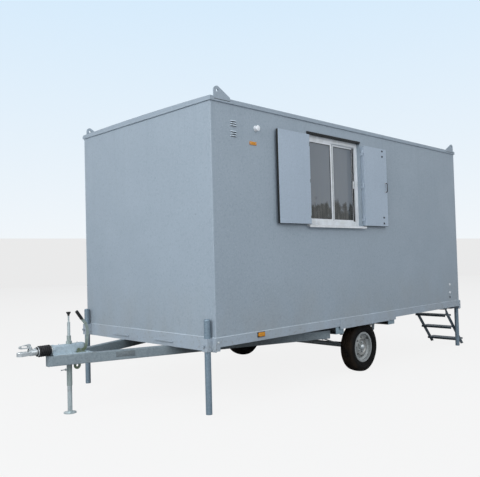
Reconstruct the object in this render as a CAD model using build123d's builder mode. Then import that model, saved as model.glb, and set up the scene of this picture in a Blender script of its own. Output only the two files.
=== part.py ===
from build123d import *
from math import atan, cos, degrees
import os

os.makedirs("parts", exist_ok=True)

# Portable site cabin on a single axle chassis, standing on four corner legs.
# Frame: +X from the tow end to the step end, the window side faces -Y, +Z up, ground at Z = 0.

# Cabin body
cabin_length = 4980.0
cabin_width = 2294.0
cabin_height = 2350.0  # underside of the side rails to the top of the roof
ground_to_rail = 610.0
wall = 75.0
floor_thickness = 45.0
roof_thickness = 60.0
roof_sheet = 3.0
roof_cap_height = 43.0
roof_cap_proud = 12.0
roof_cap_step = 12.0  # height of the set-back upper part of the cap's edge
roof_cap_set_back = 4.0
roof_crown = 14.0
roof_strip_count = 4  # cover strips over the sheet joins
roof_strip_width = 45.0
roof_strip_height = 3.0
corner_bend = 10.0
tow_reach = 1370.0  # front wall to the tip of the coupling
step_reach = 330.0  # rear wall to the foot of the steps

# Base frame
rail_height = 85.0
rail_flange = 95.0
rail_steel = 5.0
rail_proud = 8.0
end_rail_drop = 43.0
skirt_start = 1920.0
skirt_end = 3126.0
skirt_drop = 30.0
skirt_proud = 6.0
joist_count = 7
joist_width = 50.0
joist_steel = 4.0
cross_member_height = 85.0
cross_member_width = 155.0
cross_member_starts = (1855.0, 2971.0)
cross_member_inset = 10.0
flap_centres = (780.0, 1555.0)  # across the front rail, from the window side
flap_width = 300.0
flap_height = 10.0
flap_proud = 14.0

# Lifting eyes
eye_plate = 12.0
eye_radius = 42.0
eye_hole = 28.0
eye_from_end = 83.0
eye_above_roof = 58.0
eye_toe = 167.0  # from the hole toward the middle of the roof
eye_toe_height = 12.0
eye_into_cap = 22.0
eye_slot_gap = 4.0

# Window
window_start = 1415.0
window_width = 1030.0
window_sill_height = 1165.0
window_head_drop = 170.0  # top of the opening to the top of the roof
window_recess = 50.0
window_frame_depth = 40.0
window_frame_width = 45.0
window_frame_lip = 6.0
sash_set_back = 3.0
sash_width = 30.0
sash_depth = 16.0
sash_overlap = 24.0
sash_gap = 1.0
latch_size = (14.0, 9.0, 92.0)
latch_from_edge = 15.0
glass_thickness = 4.0
sill_overhang = 45.0
sill_side = 35.0
sill_height = 30.0
sill_slope = 8.0
sill_sheet = 4.0
sill_root = 20.0

# Shutters
shutter_width = 515.0
shutter_above_opening = 5.0
shutter_head_drop = 200.0
shutter_edge_bend = 6.0
shutter_thickness = 22.0
shutter_standoff = 28.0
shutter_hinge_offset = 7.5  # hinge line outside the edge of the window opening
shutter_hinge_clear = 5.0
hinge_radius = 8.0
hinge_pin_radius = 4.0
hinge_pin_clear = 0.3
hinge_knuckle = 34.0
hinge_gap = 0.5
hinge_inset = 90.0
hinge_notch = 13.0
hinge_notch_clear = 5.0
hinge_stub = 12.0
pull_length = 110.0
pull_radius = 5.0
pull_reach = 24.0
pull_from_edge = 45.0

# Door in the rear wall
door_from_side = 85.0
door_width = 700.0
door_head_drop = 290.0
door_gap = 4.0
door_panel_inset = 95.0
door_panel_depth = 4.0
door_handle_height = 1050.0
door_handle_plate = (42.0, 190.0, 6.0)
door_handle_reach = 46.0
door_handle_length = 120.0
door_handle_radius = 9.0
door_handle_from_edge = 55.0
door_frame_width = 35.0
door_frame_lip = 6.0
door_leaf_thickness = 44.0
door_set_back = 8.0
door_stop = 12.0
door_stop_depth = 8.0

# Small fittings on the window side
vent_start = 253.0
vent_width = 81.0
vent_drops = (352.0, 250.0)
vent_pitch = 21.5
vent_hood = 11.0
vent_sheet = 1.5
vent_pocket = 8.0
vent_slots = 3
pipe_from_front = 607.0
pipe_drop = 235.0
pipe_flange_radius = 24.0
pipe_flange = 3.0
pipe_stem_radius = 13.0
pipe_stem = 30.0
pipe_cap_radius = 29.0
pipe_cap_rim = 5.0
pipe_cap_crown = 6.0
reflector_from_front = 562.0
reflector_drop = 390.0
reflector_size = (95.0, 33.0, 7.0)
lamp_from_front = 596.0
lamp_height = 60.0
lamp_size = (86.0, 40.0, 18.0)
lamp_corner = 9.0
lens_round = 4.0

# Corner legs
leg_radius = 30.0
leg_wall = 4.0
leg_length = 860.0
leg_cap_crown = 14.0
leg_from_wall = 44.0
leg_from_side = 70.0
leg_clear = 0.5
socket_wall = 5.0
socket_drop = 35.0
socket_plate = 6.0
socket_wrap = 40.0
clamp_bolt_radius = 8.0
clamp_bolt_length = 26.0
clamp_head_radius = 13.0
clamp_head = 9.0

# Drawbar
beam_height = 95.0
beam_width = 60.0
beam_corner = 6.0
beam_slope = 0.3443  # sideways rise of each beam per unit of length
beam_at_wall = 417.0  # outer face of a beam to the middle, at the front wall
beam_front = 1050.0  # front wall to the front end of the beams
nose_reach = 40.0

# Overrun housing and coupling
tow_axis_above_rail = 10.0
housing_front = 1044.0
housing_rear = 700.0
housing_half_width = 42.0
housing_top = 46.0
housing_plate = 10.0
housing_fillet = 14.0
housing_corner = 16.0
housing_taper = 6.0
housing_collar_radius = 45.0
housing_collar = 26.0
housing_bolts = ((-735.0, 128.0), (-880.0, 86.0))  # from the front wall and from the middle
housing_bolt_radius = 12.0
housing_bolt_head = 9.0
drawtube_radius = 25.0
drawtube_clear = 0.3
overrun_travel = 70.0
overrun_clear = 5.0
gaiter_length = 141.0
gaiter_radius = 52.0
gaiter_folds = 6
gaiter_fold_depth = 9.0
gaiter_wall = 3.0
gaiter_cuff = 12.0
gaiter_tube_gap = 1.0
ball_radius = 25.0
ball_clear = 0.3
ball_below_axis = 10.0
socket_shell = 9.7
socket_lip = 13.0
socket_dome = 5.0
coupling_sleeve_radius = 31.0
coupling_sleeve_length = 62.0
coupling_neck_width = 54.0
coupling_shell_height = 24.0
coupling_fillet = 7.0
coupling_bolt_radius = 9.0
coupling_bolt_head = 7.0
handle_width = 24.0
handle_pivot_back = 88.0  # ball centre to the handle's pivot
handle_pivot_height = 58.0
handle_pin_radius = 4.0
handle_pin_clear = 0.3
handle_ear = 5.0
handle_ear_clear = 0.5
handle_ear_radius = 10.0
handle_ear_foot = 40.0
handle_ear_seat = 20.0  # up from the ball's centre
handle_nose_radius = 9.0
handle_heel = (-10.0, 18.0)  # from the pivot
handle_heel_radius = 15.0
handle_tip = (-90.0, 8.0)  # from the pivot
handle_tip_radius = 13.0
handle_slot = (-54.0, 11.0)  # from the pivot
handle_slot_length = 62.0
handle_slot_height = 16.0
handle_slot_tilt = 5.0

# Prop stand at the drawbar
prop_from_wall = 860.0
prop_radius = 22.0
prop_clear = 0.3
prop_guide_radius = 25.5
prop_guide_bottom = -350.0
prop_boss_radius = 28.0
prop_boss_top = 70.0
prop_collar_radius = 20.0
prop_collar_top = 122.0
prop_spindle_radius = 14.0
prop_spindle_top = 250.0
prop_rod_radius = 8.0
prop_chamfer = 6.0
prop_knob_bottom = 313.0
prop_knob_top = 349.0
prop_knob_radius = 22.0
prop_knob_neck = 10.0
prop_knob_flare = 12.0
prop_knob_rim = 6.0
prop_shoulder = -150.0
prop_foot_radius = 60.0
prop_foot_thickness = 8.0

# Handbrake
brake_side = -52.0
brake_bar_width = 28.0
brake_bar = 8.0
brake_pivot = (-784.0, -18.0)  # along from the front wall, up from the rail's underside
brake_points = ((-714.0, 1.0), (-700.0, 60.0), (-690.0, 134.0), (-745.0, 270.0))
grip_end = (-806.0, 356.0)
grip_radius = 15.5
brake_lobe = (-805.0, -161.0)
brake_lobe_radius = 36.0
brake_pin_radius = 8.0
brake_pin_clear = 0.3
brake_cheek = 4.0
brake_cheek_foot = 64.0
brake_cheek_gap = 1.0
brake_eye_rim = 6.0
grip_round = 7.0
grip_seat = 0.02  # share of the handle's end left bare below the grip

# Running gear
axle_from_front = 2490.0
axle_radius = 29.0
stub_radius = 16.0
bearing_clear = 0.3
tyre_radius = 298.0
tyre_width = 170.0
tyre_inset = 50.0  # side wall to the outer face of the tyre
tread_shoulder = 20.0
tread_crown = 8.0
tread_grooves = 3
tread_groove_width = 7.0
tread_groove_depth = 7.0
tread_groove_pitch = 32.0
rim_seat_radius = 165.0
rim_flange_radius = 182.0
rim_half_width = 66.0
rim_sheet = 5.0
rim_well_radius = 140.0
rim_shoulder = 30.0
rim_well = 18.0
disc_set = 28.0
disc_bore_gap = 1.0
disc_flat_radius = 80.0
disc_bulge = 14.0
disc_bulge_radius = 96.0
drum_radius = 112.0
drum_width = 62.0
hub_radius = 33.0
hub_barrel = 26.0
hub_cap_crown = 18.0
stub_reach = 18.0
stud_count = 5
stud_circle = 56.0
stud_radius = 7.0
stud_clear = 0.3
stud_proud = 5.0
nut_radius = 12.0
nut_height = 14.0
hand_holes = 8
hand_hole_radius = 11.0
hand_hole_circle = 112.0
backplate = 4.0
spring_inset = 300.0  # side wall to the middle of the spring
spring_width = 45.0
spring_leaf = 8.0
spring_leaves = 3
spring_half_span = 540.0
spring_camber = 112.0
spring_eye_radius = 18.0
spring_pin_radius = 8.0
spring_pin_clear = 0.3
u_bolt_radius = 5.0
u_bolt_spread = 30.0  # each side of the middle of the spring
clamp_plate = (110.0, 84.0, 8.0)
clamp_plate_gap = 1.5
hanger_plate = 6.0
hanger_length = 76.0
hanger_pin_out = 10.0
hanger_clear = 0.5

# Steps
step_width = 500.0
step_from_side = 110.0
step_stringer = 60.0
step_plate = 6.0
step_top_from_rear = 220.0
step_top_height = -20.0
tread_count = 3
tread_depth = 190.0
tread_thickness = 28.0
tread_steel = 3.0
tread_lowering = 0.55  # part of a rise that the top tread lies under the stringers' top
tread_set_back = 20.0
tread_holes = (3, 7)
tread_hole_radius = 9.0
tread_hole_pitch = (52.0, 60.0)
step_bearer_width = 50.0

# Shared places
x_front = (tow_reach - step_reach - cabin_length) / 2
x_rear = x_front + cabin_length
x_middle = (x_front + x_rear) / 2
y_side = cabin_width / 2
z_rail = ground_to_rail
z_rail_top = z_rail + rail_height
z_floor = z_rail_top + floor_thickness
z_roof = z_rail + cabin_height
z_wall_top = z_roof - roof_thickness
z_end_rail = z_rail - end_rail_drop
y_flange = y_side + rail_proud - rail_flange
window_height = cabin_height - window_sill_height - window_head_drop
shutter_bottom = window_sill_height + shutter_above_opening
shutter_height = cabin_height - shutter_bottom - shutter_head_drop
hinge_heights = (hinge_inset, shutter_height / 2, shutter_height - hinge_inset)
door_height = cabin_height - rail_height - floor_thickness - door_head_drop


def save(node, name):
    node.part.label = name
    export_step(node.part, f"parts/{name}.step")


def cap_shoulder(radius, crown):
    """A point half way out on a round cap: its distance from the axis and its height over the rim."""
    ball = (radius**2 + crown**2) / (2 * crown)
    return radius / 2, (ball**2 - radius**2 / 4) ** 0.5 - ball + crown


def slab(low, high, mode=Mode.ADD):
    """A plain block between two corners."""
    size = [b - a for a, b in zip(low, high)]
    centre = [(a + b) / 2 for a, b in zip(low, high)]
    with Locations(tuple(centre)):
        Box(*size, mode=mode)


def bend_corners(side_wall):
    """Round the two upright outer corners of a side wall, as bent sheet."""
    uprights = side_wall.edges().filter_by(Axis.Z)
    fillet([e for e in uprights if abs(abs(e.center().Y) - y_side) < 1 and e.length > door_height], corner_bend)


# Walls, floor and roof

with BuildPart() as floor:
    slab((x_front + wall, -y_side + wall, z_rail_top), (x_rear - wall, y_side - wall, z_floor))
save(floor, "floor")

with BuildPart() as front_wall:
    slab((x_front, -y_side + wall, z_rail_top), (x_front + wall, y_side - wall, z_wall_top))
save(front_wall, "front_wall")

with BuildPart() as far_side_wall:
    slab((x_front, y_side - wall, z_rail_top), (x_rear, y_side, z_wall_top))
    bend_corners(far_side_wall)
save(far_side_wall, "far_side_wall")

x_window = x_front + window_start
z_window = z_rail + window_sill_height
with BuildPart() as window_side_wall:
    slab((x_front, -y_side, z_rail_top), (x_rear, -y_side + wall, z_wall_top))
    slab(
        (x_window, -y_side, z_window),
        (x_window + window_width, -y_side + wall, z_window + window_height),
        Mode.SUBTRACT,
    )
    bend_corners(window_side_wall)
    for drop in vent_drops:
        for i in range(vent_slots):
            z_slot = z_roof - drop + i * vent_pitch
            slab(
                (x_front + vent_start + vent_hood, -y_side, z_slot),
                (x_front + vent_start + vent_width - vent_hood, -y_side + vent_pocket, z_slot + vent_pocket),
                Mode.SUBTRACT,
            )
save(window_side_wall, "window_side_wall")

y_door = -y_side + door_from_side
with BuildPart() as rear_wall:
    slab((x_rear - wall, -y_side + wall, z_rail_top), (x_rear, y_side - wall, z_wall_top))
    slab(
        (x_rear - wall, y_door, z_floor),
        (x_rear, y_door + door_width, z_floor + door_height),
        Mode.SUBTRACT,
    )
save(rear_wall, "rear_wall")

with BuildPart() as roof_panel:
    slab((x_front, -y_side, z_wall_top), (x_rear, y_side, z_roof - roof_sheet))
save(roof_panel, "roof_panel")

z_step = z_roof - roof_cap_step
half_cap = y_side + roof_cap_proud
half_step = half_cap - roof_cap_set_back
with BuildPart() as roof_cap:
    with BuildSketch(Plane((x_front - roof_cap_proud, 0, 0), x_dir=(0, 1, 0), z_dir=(1, 0, 0))):
        with BuildLine():
            Polyline(
                (-half_step, z_roof),
                (-half_step, z_step),
                (-half_cap, z_step),
                (-half_cap, z_roof - roof_cap_height),
                (half_cap, z_roof - roof_cap_height),
                (half_cap, z_step),
                (half_step, z_step),
                (half_step, z_roof),
            )
            ThreePointArc((half_step, z_roof), (0, z_roof + roof_crown), (-half_step, z_roof))
        make_face()
    extrude(amount=cabin_length + 2 * roof_cap_proud)
    for end in (-1, 1):
        x_edge = x_middle + end * (cabin_length / 2 + roof_cap_proud)
        xs = sorted((x_edge, x_edge - end * roof_cap_set_back))
        slab((xs[0], -half_cap, z_step), (xs[1], half_cap, z_roof + roof_crown), Mode.SUBTRACT)
    slab(
        (x_front, -y_side, z_roof - roof_cap_height),
        (x_rear, y_side, z_roof - roof_sheet),
        Mode.SUBTRACT,
    )
    eye_length = eye_toe + eye_radius
    for end in (-1, 1):
        x_hole = x_middle + end * (cabin_length / 2 - eye_from_end)
        xs = sorted((x_hole + end * eye_radius, x_hole - end * eye_toe))
        for side in (-1, 1):
            ys = sorted((side * half_cap, side * (half_cap - eye_plate)))
            slab(
                (xs[0], ys[0], z_roof - eye_into_cap - eye_slot_gap),
                (xs[1], ys[1], z_roof + roof_crown),
                Mode.SUBTRACT,
            )
    for i in range(roof_strip_count):
        x_strip = x_middle + (i - (roof_strip_count - 1) / 2) * cabin_length / roof_strip_count
        with BuildSketch(Plane((x_strip - roof_strip_width / 2, 0, z_roof), x_dir=(0, 1, 0), z_dir=(1, 0, 0))):
            with BuildLine():
                ThreePointArc((half_step, 0), (0, roof_crown + roof_strip_height), (-half_step, 0))
                Line((-half_step, 0), (half_step, 0))
            make_face()
        extrude(amount=roof_strip_width)
save(roof_cap, "roof_cap")

with BuildPart() as lifting_eyes:
    for end in (-1, 1):
        x_hole = x_middle + end * (cabin_length / 2 - eye_from_end)
        for side in (-1, 1):
            y_outer = side * half_cap
            with BuildSketch(Plane((x_hole, y_outer, z_roof), x_dir=(-end, 0, 0), z_dir=(0, end, 0))):
                with Locations((0, eye_above_roof)):
                    Circle(eye_radius)
                with Locations(((eye_toe - eye_radius) / 2, (eye_toe_height - eye_into_cap) / 2)):
                    Rectangle(eye_length, eye_toe_height + eye_into_cap)
                make_hull()
                with Locations((0, eye_above_roof)):
                    Circle(eye_hole / 2, mode=Mode.SUBTRACT)
            extrude(amount=-side * end * eye_plate)
save(lifting_eyes, "lifting_eyes")

# Base frame


def side_rail(side):
    """A side rail: a channel open toward the middle, with a deeper skirt past the wheel."""
    with BuildPart() as rail:
        y_web = side * (y_side + rail_proud)
        length = cabin_length + 2 * (rail_proud - rail_steel)
        slab_x = (x_front - rail_proud + rail_steel, x_rear + rail_proud - rail_steel)
        with BuildSketch(Plane((slab_x[0], y_web, z_rail), x_dir=(0, -side, 0), z_dir=(-side, 0, 0))):
            with BuildLine():
                Polyline(
                    (0, 0),
                    (rail_flange, 0),
                    (rail_flange, rail_steel),
                    (rail_steel, rail_steel),
                    (rail_steel, rail_height - rail_steel),
                    (rail_flange, rail_height - rail_steel),
                    (rail_flange, rail_height),
                    (0, rail_height),
                    close=True,
                )
            make_face()
        extrude(amount=-side * length)
        y_skirt = side * (y_side + rail_proud + skirt_proud)
        slab(
            (x_front + skirt_start, min(y_web, y_skirt), z_rail - skirt_drop),
            (x_front + skirt_end, max(y_web, y_skirt), z_rail_top),
        )
    return rail


save(side_rail(-1), "side_rail_window")
save(side_rail(1), "side_rail_far")


def end_rail(end, flaps):
    """An end rail: a full width web whose flanges run between the side rails."""
    x_web = x_front - rail_proud if end < 0 else x_rear + rail_proud
    with BuildPart() as rail:
        with BuildSketch(Plane((x_web, -y_flange, z_end_rail), x_dir=(-end, 0, 0), z_dir=(0, end, 0))):
            with BuildLine():
                top = rail_height + end_rail_drop
                Polyline(
                    (0, 0),
                    (rail_flange, 0),
                    (rail_flange, rail_steel),
                    (rail_steel, rail_steel),
                    (rail_steel, top - rail_steel),
                    (rail_flange, top - rail_steel),
                    (rail_flange, top),
                    (0, top),
                    close=True,
                )
            make_face()
        extrude(amount=end * 2 * y_flange)
        x_in = x_web - end * rail_steel
        slab(
            (min(x_web, x_in), -y_side - rail_proud, z_end_rail),
            (max(x_web, x_in), y_side + rail_proud, z_rail_top),
        )
        for centre in flaps:
            y_flap = centre - y_side
            slab(
                (x_web - flap_proud, y_flap - flap_width / 2, z_rail),
                (x_web, y_flap + flap_width / 2, z_rail + flap_height),
            )
    return rail


save(end_rail(-1, flap_centres), "front_rail")
save(end_rail(1, ()), "rear_rail")

with BuildPart() as floor_joists:
    clear_span = cabin_length + 2 * rail_proud - 2 * rail_flange
    pitch = clear_span / (joist_count + 1)
    for i in range(joist_count):
        x_joist = x_middle + (i - (joist_count - 1) / 2) * pitch
        with BuildSketch(Plane((x_joist, -y_flange, z_rail), x_dir=(1, 0, 0), z_dir=(0, -1, 0))):
            with BuildLine():
                Polyline(
                    (-joist_width / 2, 0),
                    (joist_width / 2, 0),
                    (joist_width / 2, joist_steel),
                    (-joist_width / 2 + joist_steel, joist_steel),
                    (-joist_width / 2 + joist_steel, rail_height - joist_steel),
                    (joist_width / 2, rail_height - joist_steel),
                    (joist_width / 2, rail_height),
                    (-joist_width / 2, rail_height),
                    close=True,
                )
            make_face()
        extrude(amount=-2 * y_flange)
save(floor_joists, "floor_joists")

# Springs, axle and wheels

x_axle = x_front + axle_from_front
z_axle = tyre_radius
y_spring = y_side - spring_inset
z_spring_seat = z_axle + axle_radius
y_wheel = y_side - tyre_inset - tyre_width / 2
main_leaf_arc = (spring_half_span**2 + spring_camber**2) / (2 * spring_camber)
spring_pack = spring_leaves * spring_leaf
z_spring_eye = z_spring_seat + spring_pack - spring_leaf + spring_camber

for name, start in zip(("cross_member_front", "cross_member_rear"), cross_member_starts):
    with BuildPart() as cross_member:
        x_start = x_front + start
        y_end = y_side - cross_member_inset
        z_bottom = z_rail - cross_member_height
        slab((x_start, -y_end, z_bottom), (x_start + cross_member_width, y_end, z_rail))
        slab(
            (x_start - 1, -y_end - 1, z_bottom + rail_steel),
            (x_start + cross_member_width - rail_steel, y_end + 1, z_rail - rail_steel),
            Mode.SUBTRACT,
        )
        hand = 1 if start < axle_from_front else -1
        x_eye = x_axle - hand * spring_half_span
        for side in (-1, 1):
            for cheek in (-1, 1):
                y_cheek = side * y_spring + cheek * (spring_width / 2 + hanger_clear + hanger_plate / 2)
                with BuildSketch(Plane((x_eye, y_cheek, z_spring_eye), x_dir=(1, 0, 0), z_dir=(0, -1, 0))):
                    Circle(spring_eye_radius + hanger_plate)
                    with Locations((0, z_bottom - z_spring_eye)):
                        Rectangle(hanger_length, 2)
                    make_hull()
                extrude(amount=hanger_plate / 2, both=True)
            with Locations(
                Location((x_eye, side * y_spring, z_spring_eye), (90, 0, 0))
            ):
                Cylinder(spring_pin_radius, spring_width + 2 * (hanger_clear + hanger_plate + hanger_pin_out))
    save(cross_member, name)

with BuildPart() as leaf_springs:
    for side in (-1, 1):
        z_centre = z_spring_eye - spring_camber + main_leaf_arc
        eye_angle = degrees(atan(spring_half_span / (main_leaf_arc - spring_camber)))
        with BuildSketch(Plane((x_axle, side * y_spring, z_centre), x_dir=(1, 0, 0), z_dir=(0, -1, 0))):
            for leaf in range(spring_leaves):
                outer = main_leaf_arc + leaf * spring_leaf
                half_angle = eye_angle * (spring_leaves - leaf) / spring_leaves
                with BuildLine():
                    a = CenterArc((0, 0), outer, 270 - half_angle, 2 * half_angle)
                    b = CenterArc((0, 0), outer - spring_leaf, 270 - half_angle, 2 * half_angle)
                    Line(a @ 0, b @ 0)
                    Line(a @ 1, b @ 1)
                make_face()
            for end in (-1, 1):
                with Locations((end * spring_half_span, spring_camber - main_leaf_arc)):
                    Circle(spring_eye_radius)
                    Circle(spring_pin_radius + spring_pin_clear, mode=Mode.SUBTRACT)
        extrude(amount=spring_width / 2, both=True)
save(leaf_springs, "leaf_springs")

y_drum_in = y_wheel + disc_set - rim_sheet - drum_width
with BuildPart() as axle_beam:
    with Locations(Location((x_axle, 0, z_axle), (90, 0, 0))):
        Cylinder(axle_radius, 2 * (y_drum_in - bearing_clear))
    for side in (-1, 1):
        y_backplate = side * (y_drum_in - bearing_clear - backplate / 2)
        with Locations(Location((x_axle, y_backplate, z_axle), (90, 0, 0))):
            Cylinder(drum_radius + 3, backplate)
        y_stub_end = y_wheel + disc_set + stub_reach
        y_stub_start = y_drum_in - bearing_clear - backplate
        with Locations(Location((x_axle, side * (y_stub_start + y_stub_end) / 2, z_axle), (90, 0, 0))):
            Cylinder(stub_radius, y_stub_end - y_stub_start)
        slab(
            (x_axle - clamp_plate[0] / 2, side * y_spring - spring_width / 2, z_axle),
            (x_axle + clamp_plate[0] / 2, side * y_spring + spring_width / 2, z_spring_seat),
        )
        z_plate_low = z_spring_seat + spring_pack + clamp_plate_gap
        with Locations((x_axle, side * y_spring, z_plate_low + clamp_plate[2] / 2)):
            Box(*clamp_plate)
        u_bend = axle_radius + u_bolt_radius - 0.5
        for spread in (-u_bolt_spread, u_bolt_spread):
            y_bolt = side * y_spring + spread
            with BuildSketch(Plane.XY.offset(z_axle)):
                with Locations((x_axle + u_bend, y_bolt)):
                    Circle(u_bolt_radius)
            revolve(axis=Axis((x_axle, y_bolt, z_axle), (0, 1, 0)), revolution_arc=180)
            with BuildSketch(Plane.XY.offset(z_axle)):
                with Locations((x_axle - u_bend, y_bolt), (x_axle + u_bend, y_bolt)):
                    Circle(u_bolt_radius)
            extrude(amount=z_plate_low + clamp_plate[2] + 2 * u_bolt_radius + 4 - z_axle)
            with BuildSketch(Plane.XY.offset(z_plate_low + clamp_plate[2])):
                with Locations((x_axle - u_bend, y_bolt), (x_axle + u_bend, y_bolt)):
                    RegularPolygon(2 * u_bolt_radius, 6)
            extrude(amount=2 * u_bolt_radius)
save(axle_beam, "axle_beam")


def wheel_plane(side):
    """Profile plane of a wheel: local x outward, local y the radius."""
    return Plane((x_axle, side * y_wheel, z_axle), x_dir=(0, side, 0), z_dir=(side, 0, 0))


for side, name in ((-1, "window"), (1, "far")):
    axis = Axis((x_axle, 0, z_axle), (0, 1, 0))
    face = Plane((x_axle, side * (y_wheel + disc_set), z_axle), x_dir=(1, 0, 0), z_dir=(0, side, 0))

    with BuildPart() as tyre:
        with BuildSketch(wheel_plane(side)):
            half = tyre_width / 2
            seat = rim_half_width - rim_sheet
            with BuildLine():
                Line((-seat, rim_seat_radius), (seat, rim_seat_radius))
                Line((seat, rim_seat_radius), (seat, rim_flange_radius))
                ThreePointArc(
                    (seat, rim_flange_radius),
                    (half, (rim_flange_radius + tyre_radius) / 2),
                    (half - tread_shoulder, tyre_radius - tread_crown),
                )
                ThreePointArc(
                    (half - tread_shoulder, tyre_radius - tread_crown),
                    (0, tyre_radius),
                    (tread_shoulder - half, tyre_radius - tread_crown),
                )
                ThreePointArc(
                    (tread_shoulder - half, tyre_radius - tread_crown),
                    (-half, (rim_flange_radius + tyre_radius) / 2),
                    (-seat, rim_flange_radius),
                )
                Line((-seat, rim_flange_radius), (-seat, rim_seat_radius))
            make_face()
        revolve(axis=axis)
        with BuildSketch(wheel_plane(side)):
            with Locations((0, tyre_radius)):
                with GridLocations(tread_groove_pitch, 1, tread_grooves, 1):
                    Rectangle(tread_groove_width, 2 * tread_groove_depth)
        revolve(axis=axis, mode=Mode.SUBTRACT)
    save(tyre, f"tyre_{name}")

    with BuildPart() as rim:
        with BuildSketch(wheel_plane(side)):
            half = rim_half_width
            with BuildLine():
                Polyline(
                    (-half, rim_flange_radius),
                    (-half + rim_sheet, rim_flange_radius),
                    (-half + rim_sheet, rim_seat_radius),
                    (-rim_shoulder, rim_seat_radius),
                    (-rim_well, rim_well_radius),
                    (rim_well, rim_well_radius),
                    (rim_shoulder, rim_seat_radius),
                    (half - rim_sheet, rim_seat_radius),
                    (half - rim_sheet, rim_flange_radius),
                    (half, rim_flange_radius),
                    (half, rim_seat_radius - rim_sheet),
                    (rim_shoulder + rim_sheet, rim_seat_radius - rim_sheet),
                    (rim_well + rim_sheet, rim_well_radius - rim_sheet),
                    (-rim_well - rim_sheet, rim_well_radius - rim_sheet),
                    (-rim_shoulder - rim_sheet, rim_seat_radius - rim_sheet),
                    (-half, rim_seat_radius - rim_sheet),
                    close=True,
                )
            make_face()
        revolve(axis=axis)
        with BuildSketch(wheel_plane(side)):
            with BuildLine():
                Polyline(
                    (disc_set - rim_sheet, hub_radius + disc_bore_gap),
                    (disc_set, hub_radius + disc_bore_gap),
                    (disc_set, disc_flat_radius),
                    (disc_set + disc_bulge, disc_bulge_radius),
                    (disc_set - rim_sheet, rim_well_radius - rim_sheet + 2),
                    (disc_set - 2 * rim_sheet, rim_well_radius - rim_sheet + 2),
                    (disc_set + disc_bulge - rim_sheet, disc_bulge_radius),
                    (disc_set - rim_sheet, disc_flat_radius + 2),
                    close=True,
                )
            make_face()
        revolve(axis=axis)
        with BuildSketch(face.offset(30)):
            with PolarLocations(stud_circle, stud_count):
                Circle(stud_radius + stud_clear)
            with PolarLocations(hand_hole_circle, hand_holes):
                Circle(hand_hole_radius)
        extrude(amount=-60, mode=Mode.SUBTRACT)
    save(rim, f"rim_{name}")

    with BuildPart() as hub:
        with BuildSketch(wheel_plane(side)):
            flange = disc_set - rim_sheet
            with BuildLine():
                crown = disc_set + hub_barrel + hub_cap_crown
                Polyline(
                    (crown, 0),
                    (flange - drum_width, 0),
                    (flange - drum_width, drum_radius),
                    (flange, drum_radius - rim_sheet),
                    (flange, hub_radius),
                    (disc_set + hub_barrel, hub_radius),
                )
                out, rise = cap_shoulder(hub_radius, hub_cap_crown)
                barrel_end = disc_set + hub_barrel
                ThreePointArc((barrel_end, hub_radius), (barrel_end + rise, out), (crown, 0))
            make_face()
        revolve(axis=axis)
        with BuildSketch(face.offset(-rim_sheet)):
            with PolarLocations(stud_circle, stud_count):
                Circle(stud_radius)
        extrude(amount=rim_sheet + nut_height + stud_proud)
        with BuildSketch(face.offset(0)):
            with PolarLocations(stud_circle, stud_count):
                RegularPolygon(nut_radius, 6)
        extrude(amount=nut_height)
        stub_room = stub_reach + 3 * bearing_clear
        with BuildSketch(face.offset(stub_room)):
            Circle(stub_radius + bearing_clear)
        extrude(amount=-(stub_room + rim_sheet + drum_width), mode=Mode.SUBTRACT)
    save(hub, f"hub_{name}")

# Drawbar

x_nose = x_front - beam_front
x_member = x_front + cross_member_starts[0]
z_beam_top = z_end_rail
z_beam = z_beam_top - beam_height
beam_across = beam_width / cos(atan(beam_slope))


def beam_outer(x):
    """Outer face of a drawbar beam to the middle of the chassis at a place along it."""
    return beam_at_wall + beam_slope * (x - x_front)


x_meet = x_front - (beam_at_wall - beam_across) / beam_slope
for side, name in ((-1, "drawbar_beam_window"), (1, "drawbar_beam_far")):
    with BuildPart() as beam:
        with BuildSketch(Plane.XY.offset(z_beam)):
            with BuildLine():
                Polyline(
                    (x_nose, 0),
                    (x_nose, side * beam_outer(x_nose)),
                    (x_member, side * beam_outer(x_member)),
                    (x_member, side * (beam_outer(x_member) - beam_across)),
                    (x_meet, 0),
                    close=True,
                )
            make_face()
        extrude(amount=beam_height)
        fillet([e for e in beam.edges() if e.length > beam_front], beam_corner)
    save(beam, name)

with BuildPart() as drawbar_nose:
    with BuildSketch(Plane.XY.offset(z_beam)):
        half = beam_outer(x_nose)
        with BuildLine():
            ThreePointArc((x_nose, -half), (x_nose - nose_reach, 0), (x_nose, half))
            Line((x_nose, half), (x_nose, -half))
        make_face()
    extrude(amount=beam_height)
save(drawbar_nose, "drawbar_nose")

# Overrun housing, gaiter and coupling

z_tow = z_rail + tow_axis_above_rail
x_housing_front = x_front - housing_front
x_housing_rear = x_front - housing_rear
x_prop = x_front - prop_from_wall
x_bore_end = x_prop - prop_guide_radius - overrun_clear
x_brake = x_front + brake_pivot[0]
z_brake = z_rail + brake_pivot[1]
z_plate = z_beam_top + housing_plate

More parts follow.
